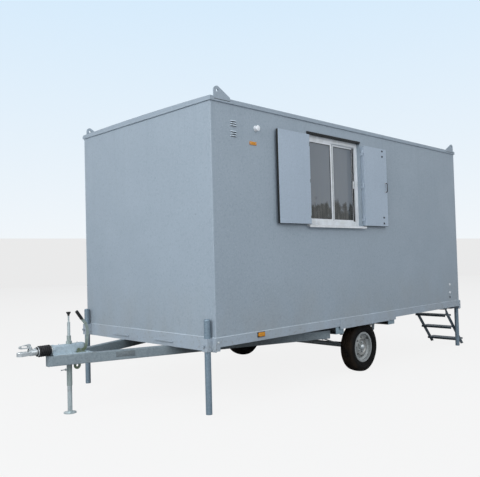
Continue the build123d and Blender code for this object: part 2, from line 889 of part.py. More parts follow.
with BuildPart() as overrun_housing:
    with BuildSketch(Plane.XY.offset(z_plate)):
        with Locations(((x_housing_front + x_housing_rear) / 2, 0)):
            RectangleRounded(x_housing_rear - x_housing_front, 2 * housing_half_width, housing_corner)
    extrude(amount=z_rail + housing_top - z_plate, taper=housing_taper)
    fillet(overrun_housing.faces().sort_by(Axis.Z)[-1].edges(), housing_fillet)
    with Locations(Location((x_housing_front + housing_collar / 2, 0, z_tow), (0, 90, 0))):
        Cylinder(housing_collar_radius, housing_collar)
    with BuildSketch(Plane.XY.offset(z_beam_top)):
        with BuildLine():
            Polyline(
                (x_housing_front, -beam_outer(x_housing_front)),
                (x_housing_rear, -beam_outer(x_housing_rear)),
                (x_housing_rear, beam_outer(x_housing_rear)),
                (x_housing_front, beam_outer(x_housing_front)),
                close=True,
            )
        make_face()
    extrude(amount=housing_plate)
    with BuildSketch(Plane((x_housing_front, 0, z_tow), x_dir=(0, 1, 0), z_dir=(-1, 0, 0))):
        Circle(drawtube_radius + drawtube_clear)
    extrude(amount=x_housing_front - x_bore_end, mode=Mode.SUBTRACT)
    with Locations((x_prop, 0, z_rail)):
        Cylinder(prop_guide_radius + prop_clear, 2 * ground_to_rail, mode=Mode.SUBTRACT)
    slab(
        (x_brake - 50, brake_side - brake_bar / 2 - overrun_clear, z_beam_top - 1),
        (x_housing_rear + 1, brake_side + brake_bar / 2 + overrun_clear, z_plate + 1),
        Mode.SUBTRACT,
    )
    for along, across in housing_bolts:
        with BuildSketch(Plane.XY.offset(z_plate)):
            with Locations((x_front + along, -across), (x_front + along, across)):
                RegularPolygon(housing_bolt_radius, 6)
        extrude(amount=housing_bolt_head)
save(overrun_housing, "overrun_housing")

x_gaiter_front = x_housing_front - gaiter_length
fold_pitch = (gaiter_length - 2 * gaiter_cuff) / gaiter_folds


def fold_line(crest):
    """Scalloped line of the gaiter's folds, from the front cuff to the rear one."""
    valley = crest - gaiter_fold_depth
    for i in range(gaiter_folds):
        x_fold = x_gaiter_front + gaiter_cuff + i * fold_pitch
        ThreePointArc((x_fold, valley), (x_fold + fold_pitch / 2, crest), (x_fold + fold_pitch, valley))
    return valley


with BuildPart() as gaiter:
    gaiter_axis = Axis((0, 0, z_tow), (1, 0, 0))
    bore = z_tow + drawtube_radius + gaiter_tube_gap
    ends = (x_gaiter_front, x_gaiter_front + gaiter_cuff, x_housing_front - gaiter_cuff, x_housing_front)
    with BuildSketch(Plane.XZ):
        with BuildLine():
            low = fold_line(z_tow + gaiter_radius)
            Polyline(
                (ends[1], low), (ends[0], low), (ends[0], bore), (ends[3], bore), (ends[3], low), (ends[2], low)
            )
        make_face()
    revolve(axis=gaiter_axis)
    with BuildSketch(Plane.XZ):
        with BuildLine():
            low = fold_line(z_tow + gaiter_radius - gaiter_wall)
            tube = z_tow + drawtube_radius
            Polyline((ends[1], low), (ends[1], tube), (ends[2], tube), (ends[2], low))
        make_face()
    revolve(axis=gaiter_axis, mode=Mode.SUBTRACT)
save(gaiter, "gaiter")

x_ball = x_front - tow_reach + ball_radius + ball_clear + socket_shell
z_ball = z_tow - ball_below_axis
x_sleeve = x_gaiter_front
x_handle = x_ball + handle_pivot_back
z_handle = z_rail + handle_pivot_height
with BuildPart() as coupling_head:
    with BuildSketch(Plane.XY.offset(z_ball - socket_lip)):
        with Locations((x_ball, 0)):
            Circle(ball_radius + ball_clear + socket_shell)
        with Locations((x_sleeve - coupling_sleeve_length, 0)):
            Rectangle(coupling_sleeve_length / 2, coupling_neck_width)
        make_hull()
    extrude(amount=socket_lip + coupling_shell_height)
    fillet(coupling_head.faces().sort_by(Axis.Z)[-1].edges(), coupling_fillet)
    with Locations(Location(((x_sleeve - coupling_sleeve_length / 2), 0, z_tow), (0, 90, 0))):
        Cylinder(coupling_sleeve_radius, coupling_sleeve_length)
    tube_end = x_bore_end - overrun_travel - overrun_clear
    with Locations(Location(((x_sleeve + tube_end) / 2, 0, z_tow), (0, 90, 0))):
        Cylinder(drawtube_radius, tube_end - x_sleeve)
    with BuildSketch(Plane.XY.offset(z_tow)):
        quarter = coupling_sleeve_length / 4
        with Locations((x_sleeve - quarter, 0), (x_sleeve - 3 * quarter, 0)):
            RegularPolygon(coupling_bolt_radius, 6)
    extrude(amount=coupling_sleeve_radius + coupling_bolt_head)
    with Locations((x_ball, 0, z_ball)):
        dome = ball_radius + ball_clear + socket_dome
        Sphere(dome, arc_size1=0, align=(Align.CENTER, Align.CENTER, Align.MIN))
    for side in (-1, 1):
        y_ear = side * (handle_width / 2 + handle_ear_clear + handle_ear / 2)
        with BuildSketch(Plane((x_handle, y_ear, z_handle), x_dir=(1, 0, 0), z_dir=(0, -1, 0))):
            Circle(handle_ear_radius)
            with Locations((0, z_ball + handle_ear_seat - z_handle)):
                Rectangle(handle_ear_foot, 2)
            make_hull()
        extrude(amount=handle_ear / 2, both=True)
    with Locations(Location((x_handle, 0, z_handle), (90, 0, 0))):
        Cylinder(handle_pin_radius, handle_width + 2 * handle_ear_clear + 2 * handle_ear)
    with Locations((x_ball, 0, z_ball)):
        Sphere(ball_radius + ball_clear, mode=Mode.SUBTRACT)
        Cylinder(
            ball_radius + ball_clear,
            socket_lip + 1,
            align=(Align.CENTER, Align.CENTER, Align.MAX),
            mode=Mode.SUBTRACT,
        )
save(coupling_head, "coupling_head")

with BuildPart() as coupling_handle:
    with BuildSketch(Plane((x_handle, 0, z_handle), x_dir=(1, 0, 0), z_dir=(0, -1, 0))):
        Circle(handle_nose_radius)
        with Locations(handle_heel):
            Circle(handle_heel_radius)
        with Locations(handle_tip):
            Circle(handle_tip_radius)
        make_hull()
        with Locations(handle_slot):
            SlotOverall(
                handle_slot_length, handle_slot_height, rotation=-handle_slot_tilt, mode=Mode.SUBTRACT
            )
        Circle(handle_pin_radius + handle_pin_clear, mode=Mode.SUBTRACT)
    extrude(amount=handle_width / 2, both=True)
save(coupling_handle, "coupling_handle")

# Prop stand

with BuildPart() as prop_guide:
    with BuildSketch(Plane.XZ):
        bore = prop_radius + prop_clear
        neck = prop_spindle_radius + prop_clear
        with BuildLine():
            Polyline(
                (x_prop + bore, z_rail + prop_guide_bottom),
                (x_prop + prop_guide_radius, z_rail + prop_guide_bottom),
                (x_prop + prop_guide_radius, z_rail + housing_top),
                (x_prop + prop_boss_radius, z_rail + housing_top),
                (x_prop + prop_boss_radius, z_rail + prop_boss_top),
                (x_prop + prop_collar_radius, z_rail + prop_boss_top + prop_chamfer),
                (x_prop + prop_collar_radius, z_rail + prop_collar_top),
                (x_prop + neck, z_rail + prop_collar_top),
                (x_prop + neck, z_rail + prop_boss_top),
                (x_prop + bore, z_rail + prop_boss_top),
                close=True,
            )
        make_face()
    revolve(axis=Axis((x_prop, 0, 0), (0, 0, 1)))
save(prop_guide, "prop_guide")

with BuildPart() as prop_leg:
    with BuildSketch(Plane.XZ):
        with BuildLine():
            Polyline(
                (x_prop, 0),
                (x_prop + prop_foot_radius, 0),
                (x_prop + prop_foot_radius, prop_foot_thickness),
                (x_prop + prop_radius, 2 * prop_foot_thickness),
                (x_prop + prop_radius, z_rail + prop_shoulder),
                (x_prop + prop_spindle_radius, z_rail + prop_shoulder),
                (x_prop + prop_spindle_radius, z_rail + prop_spindle_top),
                (x_prop + prop_rod_radius, z_rail + prop_spindle_top + prop_chamfer),
                (x_prop + prop_rod_radius, z_rail + prop_knob_bottom),
                (x_prop, z_rail + prop_knob_bottom),
                close=True,
            )
        make_face()
    revolve(axis=Axis((x_prop, 0, 0), (0, 0, 1)))
save(prop_leg, "prop_leg")

with BuildPart() as prop_knob:
    with BuildSketch(Plane.XZ):
        with BuildLine():
            Polyline(
                (x_prop, z_rail + prop_knob_bottom),
                (x_prop + prop_knob_neck, z_rail + prop_knob_bottom),
                (x_prop + prop_knob_flare, z_rail + prop_knob_bottom + prop_knob_flare),
                (x_prop + prop_knob_radius, z_rail + prop_knob_top - prop_knob_rim),
                (x_prop + prop_knob_radius, z_rail + prop_knob_top),
                (x_prop, z_rail + prop_knob_top),
                close=True,
            )
        make_face()
    revolve(axis=Axis((x_prop, 0, 0), (0, 0, 1)))
save(prop_knob, "prop_knob")

# Handbrake

brake_plane = Plane((x_front, brake_side, z_rail), x_dir=(1, 0, 0), z_dir=(0, -1, 0))
with BuildPart() as handbrake_lever:
    with BuildSketch(brake_plane):
        with BuildLine() as bar_line:
            Spline(brake_pivot, *brake_points)
        trace(line_width=brake_bar_width)
        with BuildLine() as arm_line:
            Line(brake_pivot, brake_lobe)
        trace(line_width=brake_bar_width)
        with Locations(brake_pivot):
            Circle(brake_bar_width / 2 + brake_eye_rim)
        with Locations(brake_lobe):
            Circle(brake_lobe_radius)
            Circle(brake_lobe_radius / 3, mode=Mode.SUBTRACT)
        with Locations(brake_pivot):
            Circle(brake_pin_radius + brake_pin_clear, mode=Mode.SUBTRACT)
    extrude(amount=brake_bar / 2, both=True)
save(handbrake_lever, "handbrake_lever")

grip_start = brake_points[-1]
with BuildPart() as handbrake_grip:
    start = brake_plane.from_local_coords(Vector(grip_start[0], grip_start[1], 0))
    end = brake_plane.from_local_coords(Vector(grip_end[0], grip_end[1], 0))
    with BuildSketch(Plane(start + (end - start) * grip_seat, z_dir=end - start)):
        Circle(grip_radius)
    extrude(amount=(end - start).length * (1 - grip_seat))
    fillet(handbrake_grip.edges().filter_by(GeomType.CIRCLE), grip_round)
save(handbrake_grip, "handbrake_grip")

with BuildPart() as handbrake_bracket:
    y_cheek = brake_side - brake_bar / 2 - overrun_clear - brake_cheek_gap - brake_cheek / 2
    with BuildSketch(Plane((x_brake, y_cheek, z_brake), x_dir=(1, 0, 0), z_dir=(0, -1, 0))):
        Circle(z_brake - z_plate)
        with Locations((0, z_plate + brake_cheek / 2 - z_brake)):
            Rectangle(brake_cheek_foot, brake_cheek)
        make_hull()
    extrude(amount=brake_cheek / 2, both=True)
    y_pin = (-housing_half_width, y_cheek - 1.5 * brake_cheek)
    with Locations(Location((x_brake, sum(y_pin) / 2, z_brake), (90, 0, 0))):
        Cylinder(brake_pin_radius, y_pin[0] - y_pin[1])
save(handbrake_bracket, "handbrake_bracket")

# Corner legs and their sockets

with BuildPart() as leg_sockets:
    for end in (-1, 1):
        x_wall = x_front if end < 0 else x_rear
        x_rail_face = x_wall + end * rail_proud
        x_leg = x_wall + end * leg_from_wall
        for side in (-1, 1):
            y_leg = side * (y_side - leg_from_side)
            half = leg_radius + leg_clear + socket_wall
            y_face = side * (y_side + rail_proud)
            xs = sorted((x_rail_face, x_leg + end * half))
            slab((xs[0], y_leg - half, z_rail - socket_drop), (xs[1], y_leg + half, z_rail_top))
            xs = sorted((x_rail_face, x_rail_face + end * socket_plate))
            ys = sorted((y_leg - side * half, y_face + side * socket_plate))
            slab((xs[0], ys[0], z_rail - socket_drop), (xs[1], ys[1], z_rail_top))
            xs = sorted((x_rail_face + end * socket_plate, x_wall - end * socket_wrap))
            ys = sorted((y_face, y_face + side * socket_plate))
            slab((xs[0], ys[0], z_rail - socket_drop), (xs[1], ys[1], z_rail_top))
            with Locations((x_leg, y_leg, z_rail)):
                Cylinder(leg_radius + leg_clear, 2 * ground_to_rail, mode=Mode.SUBTRACT)
            z_bolt = z_rail + (rail_height - socket_drop) / 2
            x_bolt = x_leg + end * half
            with Locations(Location((x_bolt + end * clamp_bolt_length / 2, y_leg, z_bolt), (0, 90, 0))):
                Cylinder(clamp_bolt_radius, clamp_bolt_length)
            with BuildSketch(
                Plane((x_bolt + end * clamp_bolt_length, y_leg, z_bolt), x_dir=(0, 1, 0), z_dir=(end, 0, 0))
            ):
                RegularPolygon(clamp_head_radius, 6)
            extrude(amount=-clamp_head)
save(leg_sockets, "leg_sockets")

for end, end_name in ((-1, "front"), (1, "rear")):
    x_wall = x_front if end < 0 else x_rear
    for side, side_name in ((-1, "window"), (1, "far")):
        with BuildPart() as leg:
            with BuildSketch(Plane((x_wall + end * leg_from_wall, side * (y_side - leg_from_side), 0))):
                Circle(leg_radius)
                Circle(leg_radius - leg_wall, mode=Mode.SUBTRACT)
            extrude(amount=leg_length)
            with BuildSketch(Plane((x_wall + end * leg_from_wall, side * (y_side - leg_from_side), leg_length))):
                Circle(leg_radius)
            extrude(amount=leg_cap_crown)
            fillet(leg.faces().sort_by(Axis.Z)[-1].edges(), 0.9 * leg_cap_crown)
        save(leg, f"leg_{end_name}_{side_name}")

# Window and shutters

y_glaze = -y_side + window_recess
with BuildPart() as window_frame:
    low = (x_window, y_glaze, z_window)
    high = (x_window + window_width, y_glaze + window_frame_depth, z_window + window_height)
    slab(low, high)
    cuts = (
        (low[1] - 1, window_frame_width + window_frame_lip),
        (low[1] + sash_set_back, window_frame_width),
    )
    for y_cut, edge in cuts:
        slab(
            (low[0] + edge, y_cut, low[2] + edge),
            (high[0] - edge, high[1] + 1, high[2] - edge),
            Mode.SUBTRACT,
        )
save(window_frame, "window_frame")

light_low = (x_window + window_frame_width, z_window + window_frame_width)
light_high = (x_window + window_width - window_frame_width, z_window + window_height - window_frame_width)
half_light = (light_high[0] - light_low[0] + sash_overlap) / 2
sash_places = (
    (light_low[0], y_glaze + sash_set_back),
    (light_high[0] - half_light, y_glaze + sash_set_back + sash_depth + sash_gap),
)
with BuildPart() as window_sashes:
    for x_sash, y_sash in sash_places:
        slab((x_sash, y_sash, light_low[1]), (x_sash + half_light, y_sash + sash_depth, light_high[1]))
        slab(
            (x_sash + sash_width, y_sash - 1, light_low[1] + sash_width),
            (x_sash + half_light - sash_width, y_sash + sash_depth + 1, light_high[1] - sash_width),
            Mode.SUBTRACT,
        )
    x_latch = light_high[0] - latch_from_edge
    z_latch = (light_low[1] + light_high[1]) / 2
    with BuildSketch(Plane((x_latch, sash_places[1][1], z_latch), x_dir=(1, 0, 0), z_dir=(0, -1, 0))):
        SlotOverall(latch_size[2], latch_size[0], rotation=90)
    extrude(amount=latch_size[1])
save(window_sashes, "window_sashes")

with BuildPart() as window_glass:
    for x_sash, y_sash in sash_places:
        y_pane = y_sash + (sash_depth - glass_thickness) / 2
        slab(
            (x_sash + sash_width, y_pane, light_low[1] + sash_width),
            (x_sash + half_light - sash_width, y_pane + glass_thickness, light_high[1] - sash_width),
        )
save(window_glass, "window_glass")

with BuildPart() as window_sill:
    with BuildSketch(Plane((x_window - sill_side, -y_side, z_window), x_dir=(0, -1, 0), z_dir=(-1, 0, 0))):
        with BuildLine():
            Polyline(
                (0, 0),
                (sill_overhang, -sill_slope),
                (sill_overhang, -sill_height),
                (sill_overhang - sill_sheet, -sill_height),
                (sill_overhang - sill_sheet, -sill_slope - sill_sheet),
                (0, -sill_root),
                close=True,
            )
        make_face()
    extrude(amount=-(window_width + 2 * sill_side))
save(window_sill, "window_sill")

z_shutter = z_rail + shutter_bottom
y_hinge = -y_side - shutter_standoff
y_leaf = y_hinge - shutter_thickness
with BuildPart() as shutter_hinges:
    for side in (-1, 1):
        edge = x_window if side < 0 else x_window + window_width
        x_hinge = edge + side * shutter_hinge_offset
        for height in hinge_heights:
            z_knuckle = z_shutter + height - hinge_knuckle
            slab(
                (x_hinge - hinge_stub / 2, y_hinge, z_knuckle),
                (x_hinge + hinge_stub / 2, -y_side, z_knuckle + hinge_knuckle),
            )
            with Locations((x_hinge, y_hinge, z_knuckle + hinge_knuckle / 2)):
                Cylinder(hinge_radius, hinge_knuckle)
            with Locations((x_hinge, y_hinge, z_knuckle + hinge_knuckle)):
                Cylinder(hinge_pin_radius, 2 * hinge_knuckle)
save(shutter_hinges, "shutter_hinges")

for side, name in ((-1, "left"), (1, "right")):
    edge = x_window if side < 0 else x_window + window_width
    x_hinge = edge + side * shutter_hinge_offset
    x_near = x_hinge + side * shutter_hinge_clear
    x_free = x_near + side * shutter_width
    with BuildPart() as shutter:
        slab(
            (min(x_near, x_free), y_leaf, z_shutter),
            (max(x_near, x_free), y_hinge, z_shutter + shutter_height),
        )
        uprights = shutter.edges().filter_by(Axis.Z)
        fillet([e for e in uprights if abs(e.center().X - x_free) < 1], shutter_edge_bend)
        for height in hinge_heights:
            z_joint = z_shutter + height
            x_notch = x_hinge + side * hinge_notch
            slab(
                (min(x_near, x_notch) - 1, y_leaf - 1, z_joint - hinge_knuckle - hinge_notch_clear),
                (max(x_near, x_notch), y_hinge + 1, z_joint + hinge_gap),
                Mode.SUBTRACT,
            )
            with Locations((x_hinge, y_hinge, z_joint + hinge_gap + hinge_knuckle / 2)):
                Cylinder(hinge_radius, hinge_knuckle)
            slab(
                (min(x_hinge, x_notch), y_hinge - hinge_radius, z_joint + hinge_gap),
                (max(x_hinge, x_notch), y_hinge, z_joint + hinge_gap + hinge_knuckle),
            )
            with Locations((x_hinge, y_hinge, z_joint + hinge_gap + hinge_knuckle / 2)):
                Cylinder(hinge_pin_radius + hinge_pin_clear, hinge_knuckle + 1, mode=Mode.SUBTRACT)
    save(shutter, f"shutter_{name}")
    if side > 0:
        with BuildPart() as shutter_pull:
            x_pull = x_free - side * pull_from_edge
            z_middle = z_shutter + shutter_height / 2
            with BuildLine():
                FilletPolyline(
                    (x_pull, y_leaf, z_middle - pull_length / 2),
                    (x_pull, y_leaf - pull_reach, z_middle - pull_length / 2),
                    (x_pull, y_leaf - pull_reach, z_middle + pull_length / 2),
                    (x_pull, y_leaf, z_middle + pull_length / 2),
                    radius=12,
                )
            with BuildSketch(Plane((x_pull, y_leaf, z_middle - pull_length / 2), z_dir=(0, -1, 0))):
                Circle(pull_radius)
            sweep()
        save(shutter_pull, "shutter_pull")

# Door

with BuildPart() as door_frame:
    low = (x_rear - wall, y_door, z_floor)
    high = (x_rear + door_frame_lip, y_door + door_width, z_floor + door_height)
    slab(low, high)
    edge = door_frame_width
    slab(
        (low[0] - 1, low[1] + edge, low[2] + edge),
        (high[0] + 1, high[1] - edge, high[2] - edge),
        Mode.SUBTRACT,
    )
    x_leaf = x_rear - door_set_back - door_leaf_thickness
    x_stop = x_leaf - door_stop_depth
    slab((x_stop, low[1] + edge, low[2] + edge), (x_leaf, low[1] + edge + door_stop, high[2] - edge))
    slab((x_stop, high[1] - edge - door_stop, low[2] + edge), (x_leaf, high[1] - edge, high[2] - edge))
save(door_frame, "door_frame")

with BuildPart() as door_leaf:
    edge = door_frame_width + door_gap
    x_face = x_leaf + door_leaf_thickness
    low = (x_leaf, y_door + edge, z_floor + edge)
    high = (x_face, y_door + door_width - edge, z_floor + door_height - edge)
    slab(low, high)
    z_rise = (high[2] - low[2] - door_panel_inset) / 2
    for z_panel in (low[2] + door_panel_inset, low[2] + door_panel_inset + z_rise):
        slab(
            (x_face - door_panel_depth, low[1] + door_panel_inset, z_panel),
            (x_face + 1, high[1] - door_panel_inset, z_panel + z_rise - door_panel_inset),
            Mode.SUBTRACT,
        )
save(door_leaf, "door_leaf")

y_handle = y_door + door_width - door_frame_width - door_gap - door_handle_from_edge
z_door_handle = z_floor + door_handle_height
with BuildPart() as door_handle:
    with BuildSketch(Plane((x_face, y_handle, z_door_handle), x_dir=(0, 1, 0), z_dir=(1, 0, 0))):
        RectangleRounded(door_handle_plate[0], door_handle_plate[1], door_handle_plate[0] / 3)
    extrude(amount=door_handle_plate[2])
    with BuildLine():
        FilletPolyline(
            (x_face, y_handle, z_door_handle),
            (x_face + door_handle_reach, y_handle, z_door_handle),
            (x_face + door_handle_reach, y_handle - door_handle_length, z_door_handle),
            radius=2 * door_handle_radius,
        )
    with BuildSketch(Plane((x_face, y_handle, z_door_handle), z_dir=(1, 0, 0))):
        Circle(door_handle_radius)
    sweep()
save(door_handle, "door_handle")

# Small fittings

with BuildPart() as louvre_hood:
    hood_end = vent_width / 2 - vent_hood
    Cylinder(vent_hood, 2 * hood_end, rotation=(0, 90, 0))
    with Locations((-hood_end, 0, 0), (hood_end, 0, 0)):
        Sphere(vent_hood)
    Cylinder(vent_hood - vent_sheet, 2 * hood_end, rotation=(0, 90, 0), mode=Mode.SUBTRACT)
    with Locations((-hood_end, 0, 0), (hood_end, 0, 0)):
        Sphere(vent_hood - vent_sheet, mode=Mode.SUBTRACT)
    for open_side in ((Align.CENTER, Align.CENTER, Align.MAX), (Align.CENTER, Align.MIN, Align.CENTER)):
        Box(vent_width, 2 * vent_hood, 2 * vent_hood, align=open_side, mode=Mode.SUBTRACT)

with BuildPart() as louvre_vents:
    x_vent = x_front + vent_start + vent_width / 2
    z_vents = [z_roof - drop + i * vent_pitch for drop in vent_drops for i in range(vent_slots)]
    with Locations(*[(x_vent, -y_side, z) for z in z_vents]):
        add(louvre_hood.part)
save(louvre_vents, "louvre_vents")

with BuildPart() as pipe_outlet:
    x_pipe = x_front + pipe_from_front
    z_pipe = z_roof - pipe_drop
    rim = pipe_stem + pipe_cap_rim
    with BuildSketch(Plane((x_pipe, -y_side, z_pipe), x_dir=(1, 0, 0), z_dir=(0, 0, -1))):
        with BuildLine():
            Polyline(
                (0, rim + pipe_cap_crown),
                (0, 0),
                (pipe_flange_radius, 0),
                (pipe_flange_radius, pipe_flange),
                (pipe_stem_radius, 2 * pipe_flange),
                (pipe_stem_radius, pipe_stem),
                (pipe_cap_radius - pipe_flange, pipe_stem),
                (pipe_cap_radius, rim),
            )
            out, rise = cap_shoulder(pipe_cap_radius, pipe_cap_crown)
            ThreePointArc((pipe_cap_radius, rim), (out, rim + rise), (0, rim + pipe_cap_crown))
        make_face()
    revolve(axis=Axis((x_pipe, -y_side, z_pipe), (0, -1, 0)))
save(pipe_outlet, "pipe_outlet")


with BuildPart() as side_reflector:
    place = (x_front + reflector_from_front, -y_side, z_roof - reflector_drop)
    with BuildSketch(Plane(place, x_dir=(1, 0, 0), z_dir=(0, -1, 0))):
        RectangleRounded(reflector_size[0], reflector_size[1], lens_round)
    extrude(amount=reflector_size[2])
    fillet(side_reflector.faces().sort_by(Axis.Y)[0].edges(), lens_round / 2)
save(side_reflector, "side_reflector")

with BuildPart() as side_lamp:
    for side in (-1, 1):
        place = (x_front + lamp_from_front, side * (y_side + rail_proud), z_rail + lamp_height)
        with BuildSketch(Plane(place, x_dir=(1, 0, 0), z_dir=(0, side, 0))):
            RectangleRounded(lamp_size[0], lamp_size[1], lamp_corner)
        extrude(amount=lamp_size[2])
    for outer in (0, -1):
        fillet(side_lamp.faces().sort_by(Axis.Y)[outer].edges(), lens_round)
save(side_lamp, "side_lamp")

# Steps at the rear

x_step_top = x_rear - step_top_from_rear
x_step_foot = x_rear + step_reach
y_step = -y_side + step_from_side
z_step_top = z_rail + step_top_height
step_rise = z_step_top / (x_step_foot - x_step_top)

with BuildPart() as step_bearer:
    slab((x_step_top - step_bearer_width, -y_flange, z_rail - end_rail_drop), (x_step_top, y_flange, z_rail))
save(step_bearer, "step_bearer")

with BuildPart() as step_stringers:
    for y_plate in (y_step, y_step + step_width - step_plate):
        with BuildSketch(Plane((0, y_plate, 0), x_dir=(1, 0, 0), z_dir=(0, -1, 0))):
            with BuildLine():
                lean = step_stringer * (1 + step_rise**2) ** 0.5
                Polyline(
                    (x_step_top, z_step_top),
                    (x_step_foot, 0),
                    (x_step_foot - lean / step_rise, 0),
                    (x_step_top, z_step_top - lean),
                    close=True,
                )
            make_face()
        extrude(amount=-step_plate)
save(step_stringers, "step_stringers")

with BuildPart() as step_treads:
    for i in range(tread_count):
        share = (i + tread_lowering) / tread_count
        x_tread = x_step_top + share * (x_step_foot - x_step_top) - tread_set_back
        z_tread = z_step_top * (1 - share)
        y_treads = (y_step + step_plate, y_step + step_width - step_plate)
        slab(
            (x_tread - tread_depth / 2, y_treads[0], z_tread - tread_thickness),
            (x_tread + tread_depth / 2, y_treads[1], z_tread),
        )
        slab(
            (x_tread - tread_depth / 2 + tread_steel, y_treads[0] - 1, z_tread - tread_thickness - 1),
            (x_tread + tread_depth / 2 - tread_steel, y_treads[1] + 1, z_tread - tread_steel),
            Mode.SUBTRACT,
        )
        with BuildSketch(Plane((x_tread, y_step + step_width / 2, z_tread))):
            with GridLocations(tread_hole_pitch[0], tread_hole_pitch[1], *tread_holes):
                Circle(tread_hole_radius)
        extrude(amount=-2 * tread_steel, mode=Mode.SUBTRACT)
save(step_treads, "step_treads")
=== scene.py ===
"""Looks of the towable site cabin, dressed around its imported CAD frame."""
from math import cos, pi, sin
import bmesh
import bpy
from mathutils import Matrix, Vector


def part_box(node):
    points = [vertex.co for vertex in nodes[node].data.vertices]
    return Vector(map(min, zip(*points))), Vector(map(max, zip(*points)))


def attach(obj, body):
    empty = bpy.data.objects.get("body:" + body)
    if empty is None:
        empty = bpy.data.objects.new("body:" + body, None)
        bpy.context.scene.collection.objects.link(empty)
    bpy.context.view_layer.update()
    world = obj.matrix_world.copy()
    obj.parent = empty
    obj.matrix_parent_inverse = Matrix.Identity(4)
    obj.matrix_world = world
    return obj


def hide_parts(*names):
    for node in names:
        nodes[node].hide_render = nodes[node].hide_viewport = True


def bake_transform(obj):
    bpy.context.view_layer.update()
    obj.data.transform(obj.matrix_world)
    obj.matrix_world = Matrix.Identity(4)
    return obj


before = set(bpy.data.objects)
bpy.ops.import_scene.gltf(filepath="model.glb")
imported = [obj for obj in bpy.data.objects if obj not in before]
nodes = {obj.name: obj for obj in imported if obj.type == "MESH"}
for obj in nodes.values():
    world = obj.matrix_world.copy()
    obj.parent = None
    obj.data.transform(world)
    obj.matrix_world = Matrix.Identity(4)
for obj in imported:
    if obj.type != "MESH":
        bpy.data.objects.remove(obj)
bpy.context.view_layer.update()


# Places on and round the cabin, in metres, that the looks are laid out from

EYE = (-5.5991, -5.1763, 1.4440)  # where the photograph was taken from
EYE_ON_FLOOR = (*EYE[:2], 0.0)
SIDES = (-1, 1)  # the window side and the far side, or the tow end and the step end
WALL_FACE = 1.147  # the outer face of the side walls
WALL_ENDS = (-1.970, 3.010)  # the outer faces of the front and rear walls
WHEEL_CENTRE = (0.52, 0.0, 0.298)
CABIN_MIDDLE = (0.52, 0.0, 1.82)
ROOM_REACH = (2.4165, 1.0735, 1.0830)  # from the cabin's middle to just behind its lining


# Camera and light

def camera_at_the_photograph():
    """A level walk-up view of the tow end and the window side, turned and tilted as the photograph is."""
    yaw, pitch, roll = 0.7786, 0.0310, -0.0268
    ahead = Vector((sin(yaw) * cos(pitch), cos(yaw) * cos(pitch), sin(pitch)))
    level = Vector((cos(yaw), -sin(yaw), 0))
    upright = level.cross(ahead)
    right = level * cos(roll) + upright * sin(roll)
    up = upright * cos(roll) - level * sin(roll)
    lens = bpy.data.cameras.new("photograph")
    lens.lens, lens.sensor_width, lens.sensor_fit = 43.89, 36.0, "HORIZONTAL"
    lens.clip_end = 200
    camera = bpy.data.objects.new("photograph", lens)
    camera.matrix_world = Matrix((right, up, -ahead)).transposed().to_4x4()
    camera.location = EYE
    bpy.context.scene.collection.objects.link(camera)
    bpy.context.scene.camera = camera


camera_at_the_photograph()
bpy.context.scene.view_settings.view_transform = "Standard"


def linear(red, green, blue):
    """The linear colour that shows on a screen as these 0 to 255 values."""
    shares = (red / 255, green / 255, blue / 255)
    return tuple(((c + 0.055) / 1.055) ** 2.4 if c > 10 / 255 else c / 12.92 for c in shares)


SOFT_BOX = 5.0
SKY_LIGHT, SKY_STRENGTH = (238, 243, 249), 0.82
SKY_AT_HORIZON, SKY_ABOVE, SKY_TURNS_BY = (243, 247, 250), (214, 235, 252), 0.42


def soft_lamp(name, place, target, watts, colour):
    """A square soft box that faces a point on the cabin."""
    lamp = bpy.data.lights.new(name, "AREA")
    lamp.size, lamp.energy, lamp.color = SOFT_BOX, watts, colour
    box = bpy.data.objects.new(name, lamp)
    box.location = place
    box.rotation_euler = (Vector(target) - Vector(place)).to_track_quat("-Z", "Y").to_euler()
    bpy.context.scene.collection.objects.link(box)


def studio():
    """A pale sky that shows white at the horizon and faintly blue above, and soft boxes off two sides.

    What the camera sees of the sky, straight or through glass, has its own colours; the light is plain.
    """
    world = bpy.data.worlds.new("studio")
    world.use_nodes = True
    bpy.context.scene.world = world
    tree = world.node_tree
    link = tree.links.new
    out, fill = tree.nodes["World Output"], tree.nodes["Background"]
    fill.inputs["Color"].default_value = (*linear(*SKY_LIGHT), 1)
    fill.inputs["Strength"].default_value = SKY_STRENGTH
    shown = tree.nodes.new("ShaderNodeBackground")
    way = tree.nodes.new("ShaderNodeTexCoord")
    split = tree.nodes.new("ShaderNodeSeparateXYZ")
    rise = tree.nodes.new("ShaderNodeMapRange")
    rise.inputs["From Min"].default_value, rise.inputs["From Max"].default_value = 0.0, SKY_TURNS_BY
    sky = tree.nodes.new("ShaderNodeValToRGB")
    for stop, colour in zip(sky.color_ramp.elements, (SKY_AT_HORIZON, SKY_ABOVE)):
        stop.color = (*linear(*colour), 1)
    link(way.outputs["Generated"], split.inputs["Vector"])
    link(split.outputs["Z"], rise.inputs["Value"])
    link(rise.outputs["Result"], sky.inputs["Fac"])
    link(sky.outputs["Color"], shown.inputs["Color"])
    path = tree.nodes.new("ShaderNodeLightPath")
    seen = tree.nodes.new("ShaderNodeMath")
    seen.operation = "MAXIMUM"
    link(path.outputs["Is Camera Ray"], seen.inputs[0])
    link(path.outputs["Is Transmission Ray"], seen.inputs[1])
    both = tree.nodes.new("ShaderNodeMixShader")
    link(seen.outputs["Value"], both.inputs["Fac"])
    link(fill.outputs["Background"], both.inputs[1])
    link(shown.outputs["Background"], both.inputs[2])
    link(both.outputs["Shader"], out.inputs["Surface"])
    soft_lamp("key_off_tow_end", (-9.5, -2.2, 6.0), (-1.5, 0, 1.3), 530, (0.96, 0.98, 1.0))
    soft_lamp("fill_off_window_side", (-1.0, -9.0, 6.0), (-0.6, 0, 1.9), 190, (0.98, 0.99, 1.0))


studio()


# Surface finishes

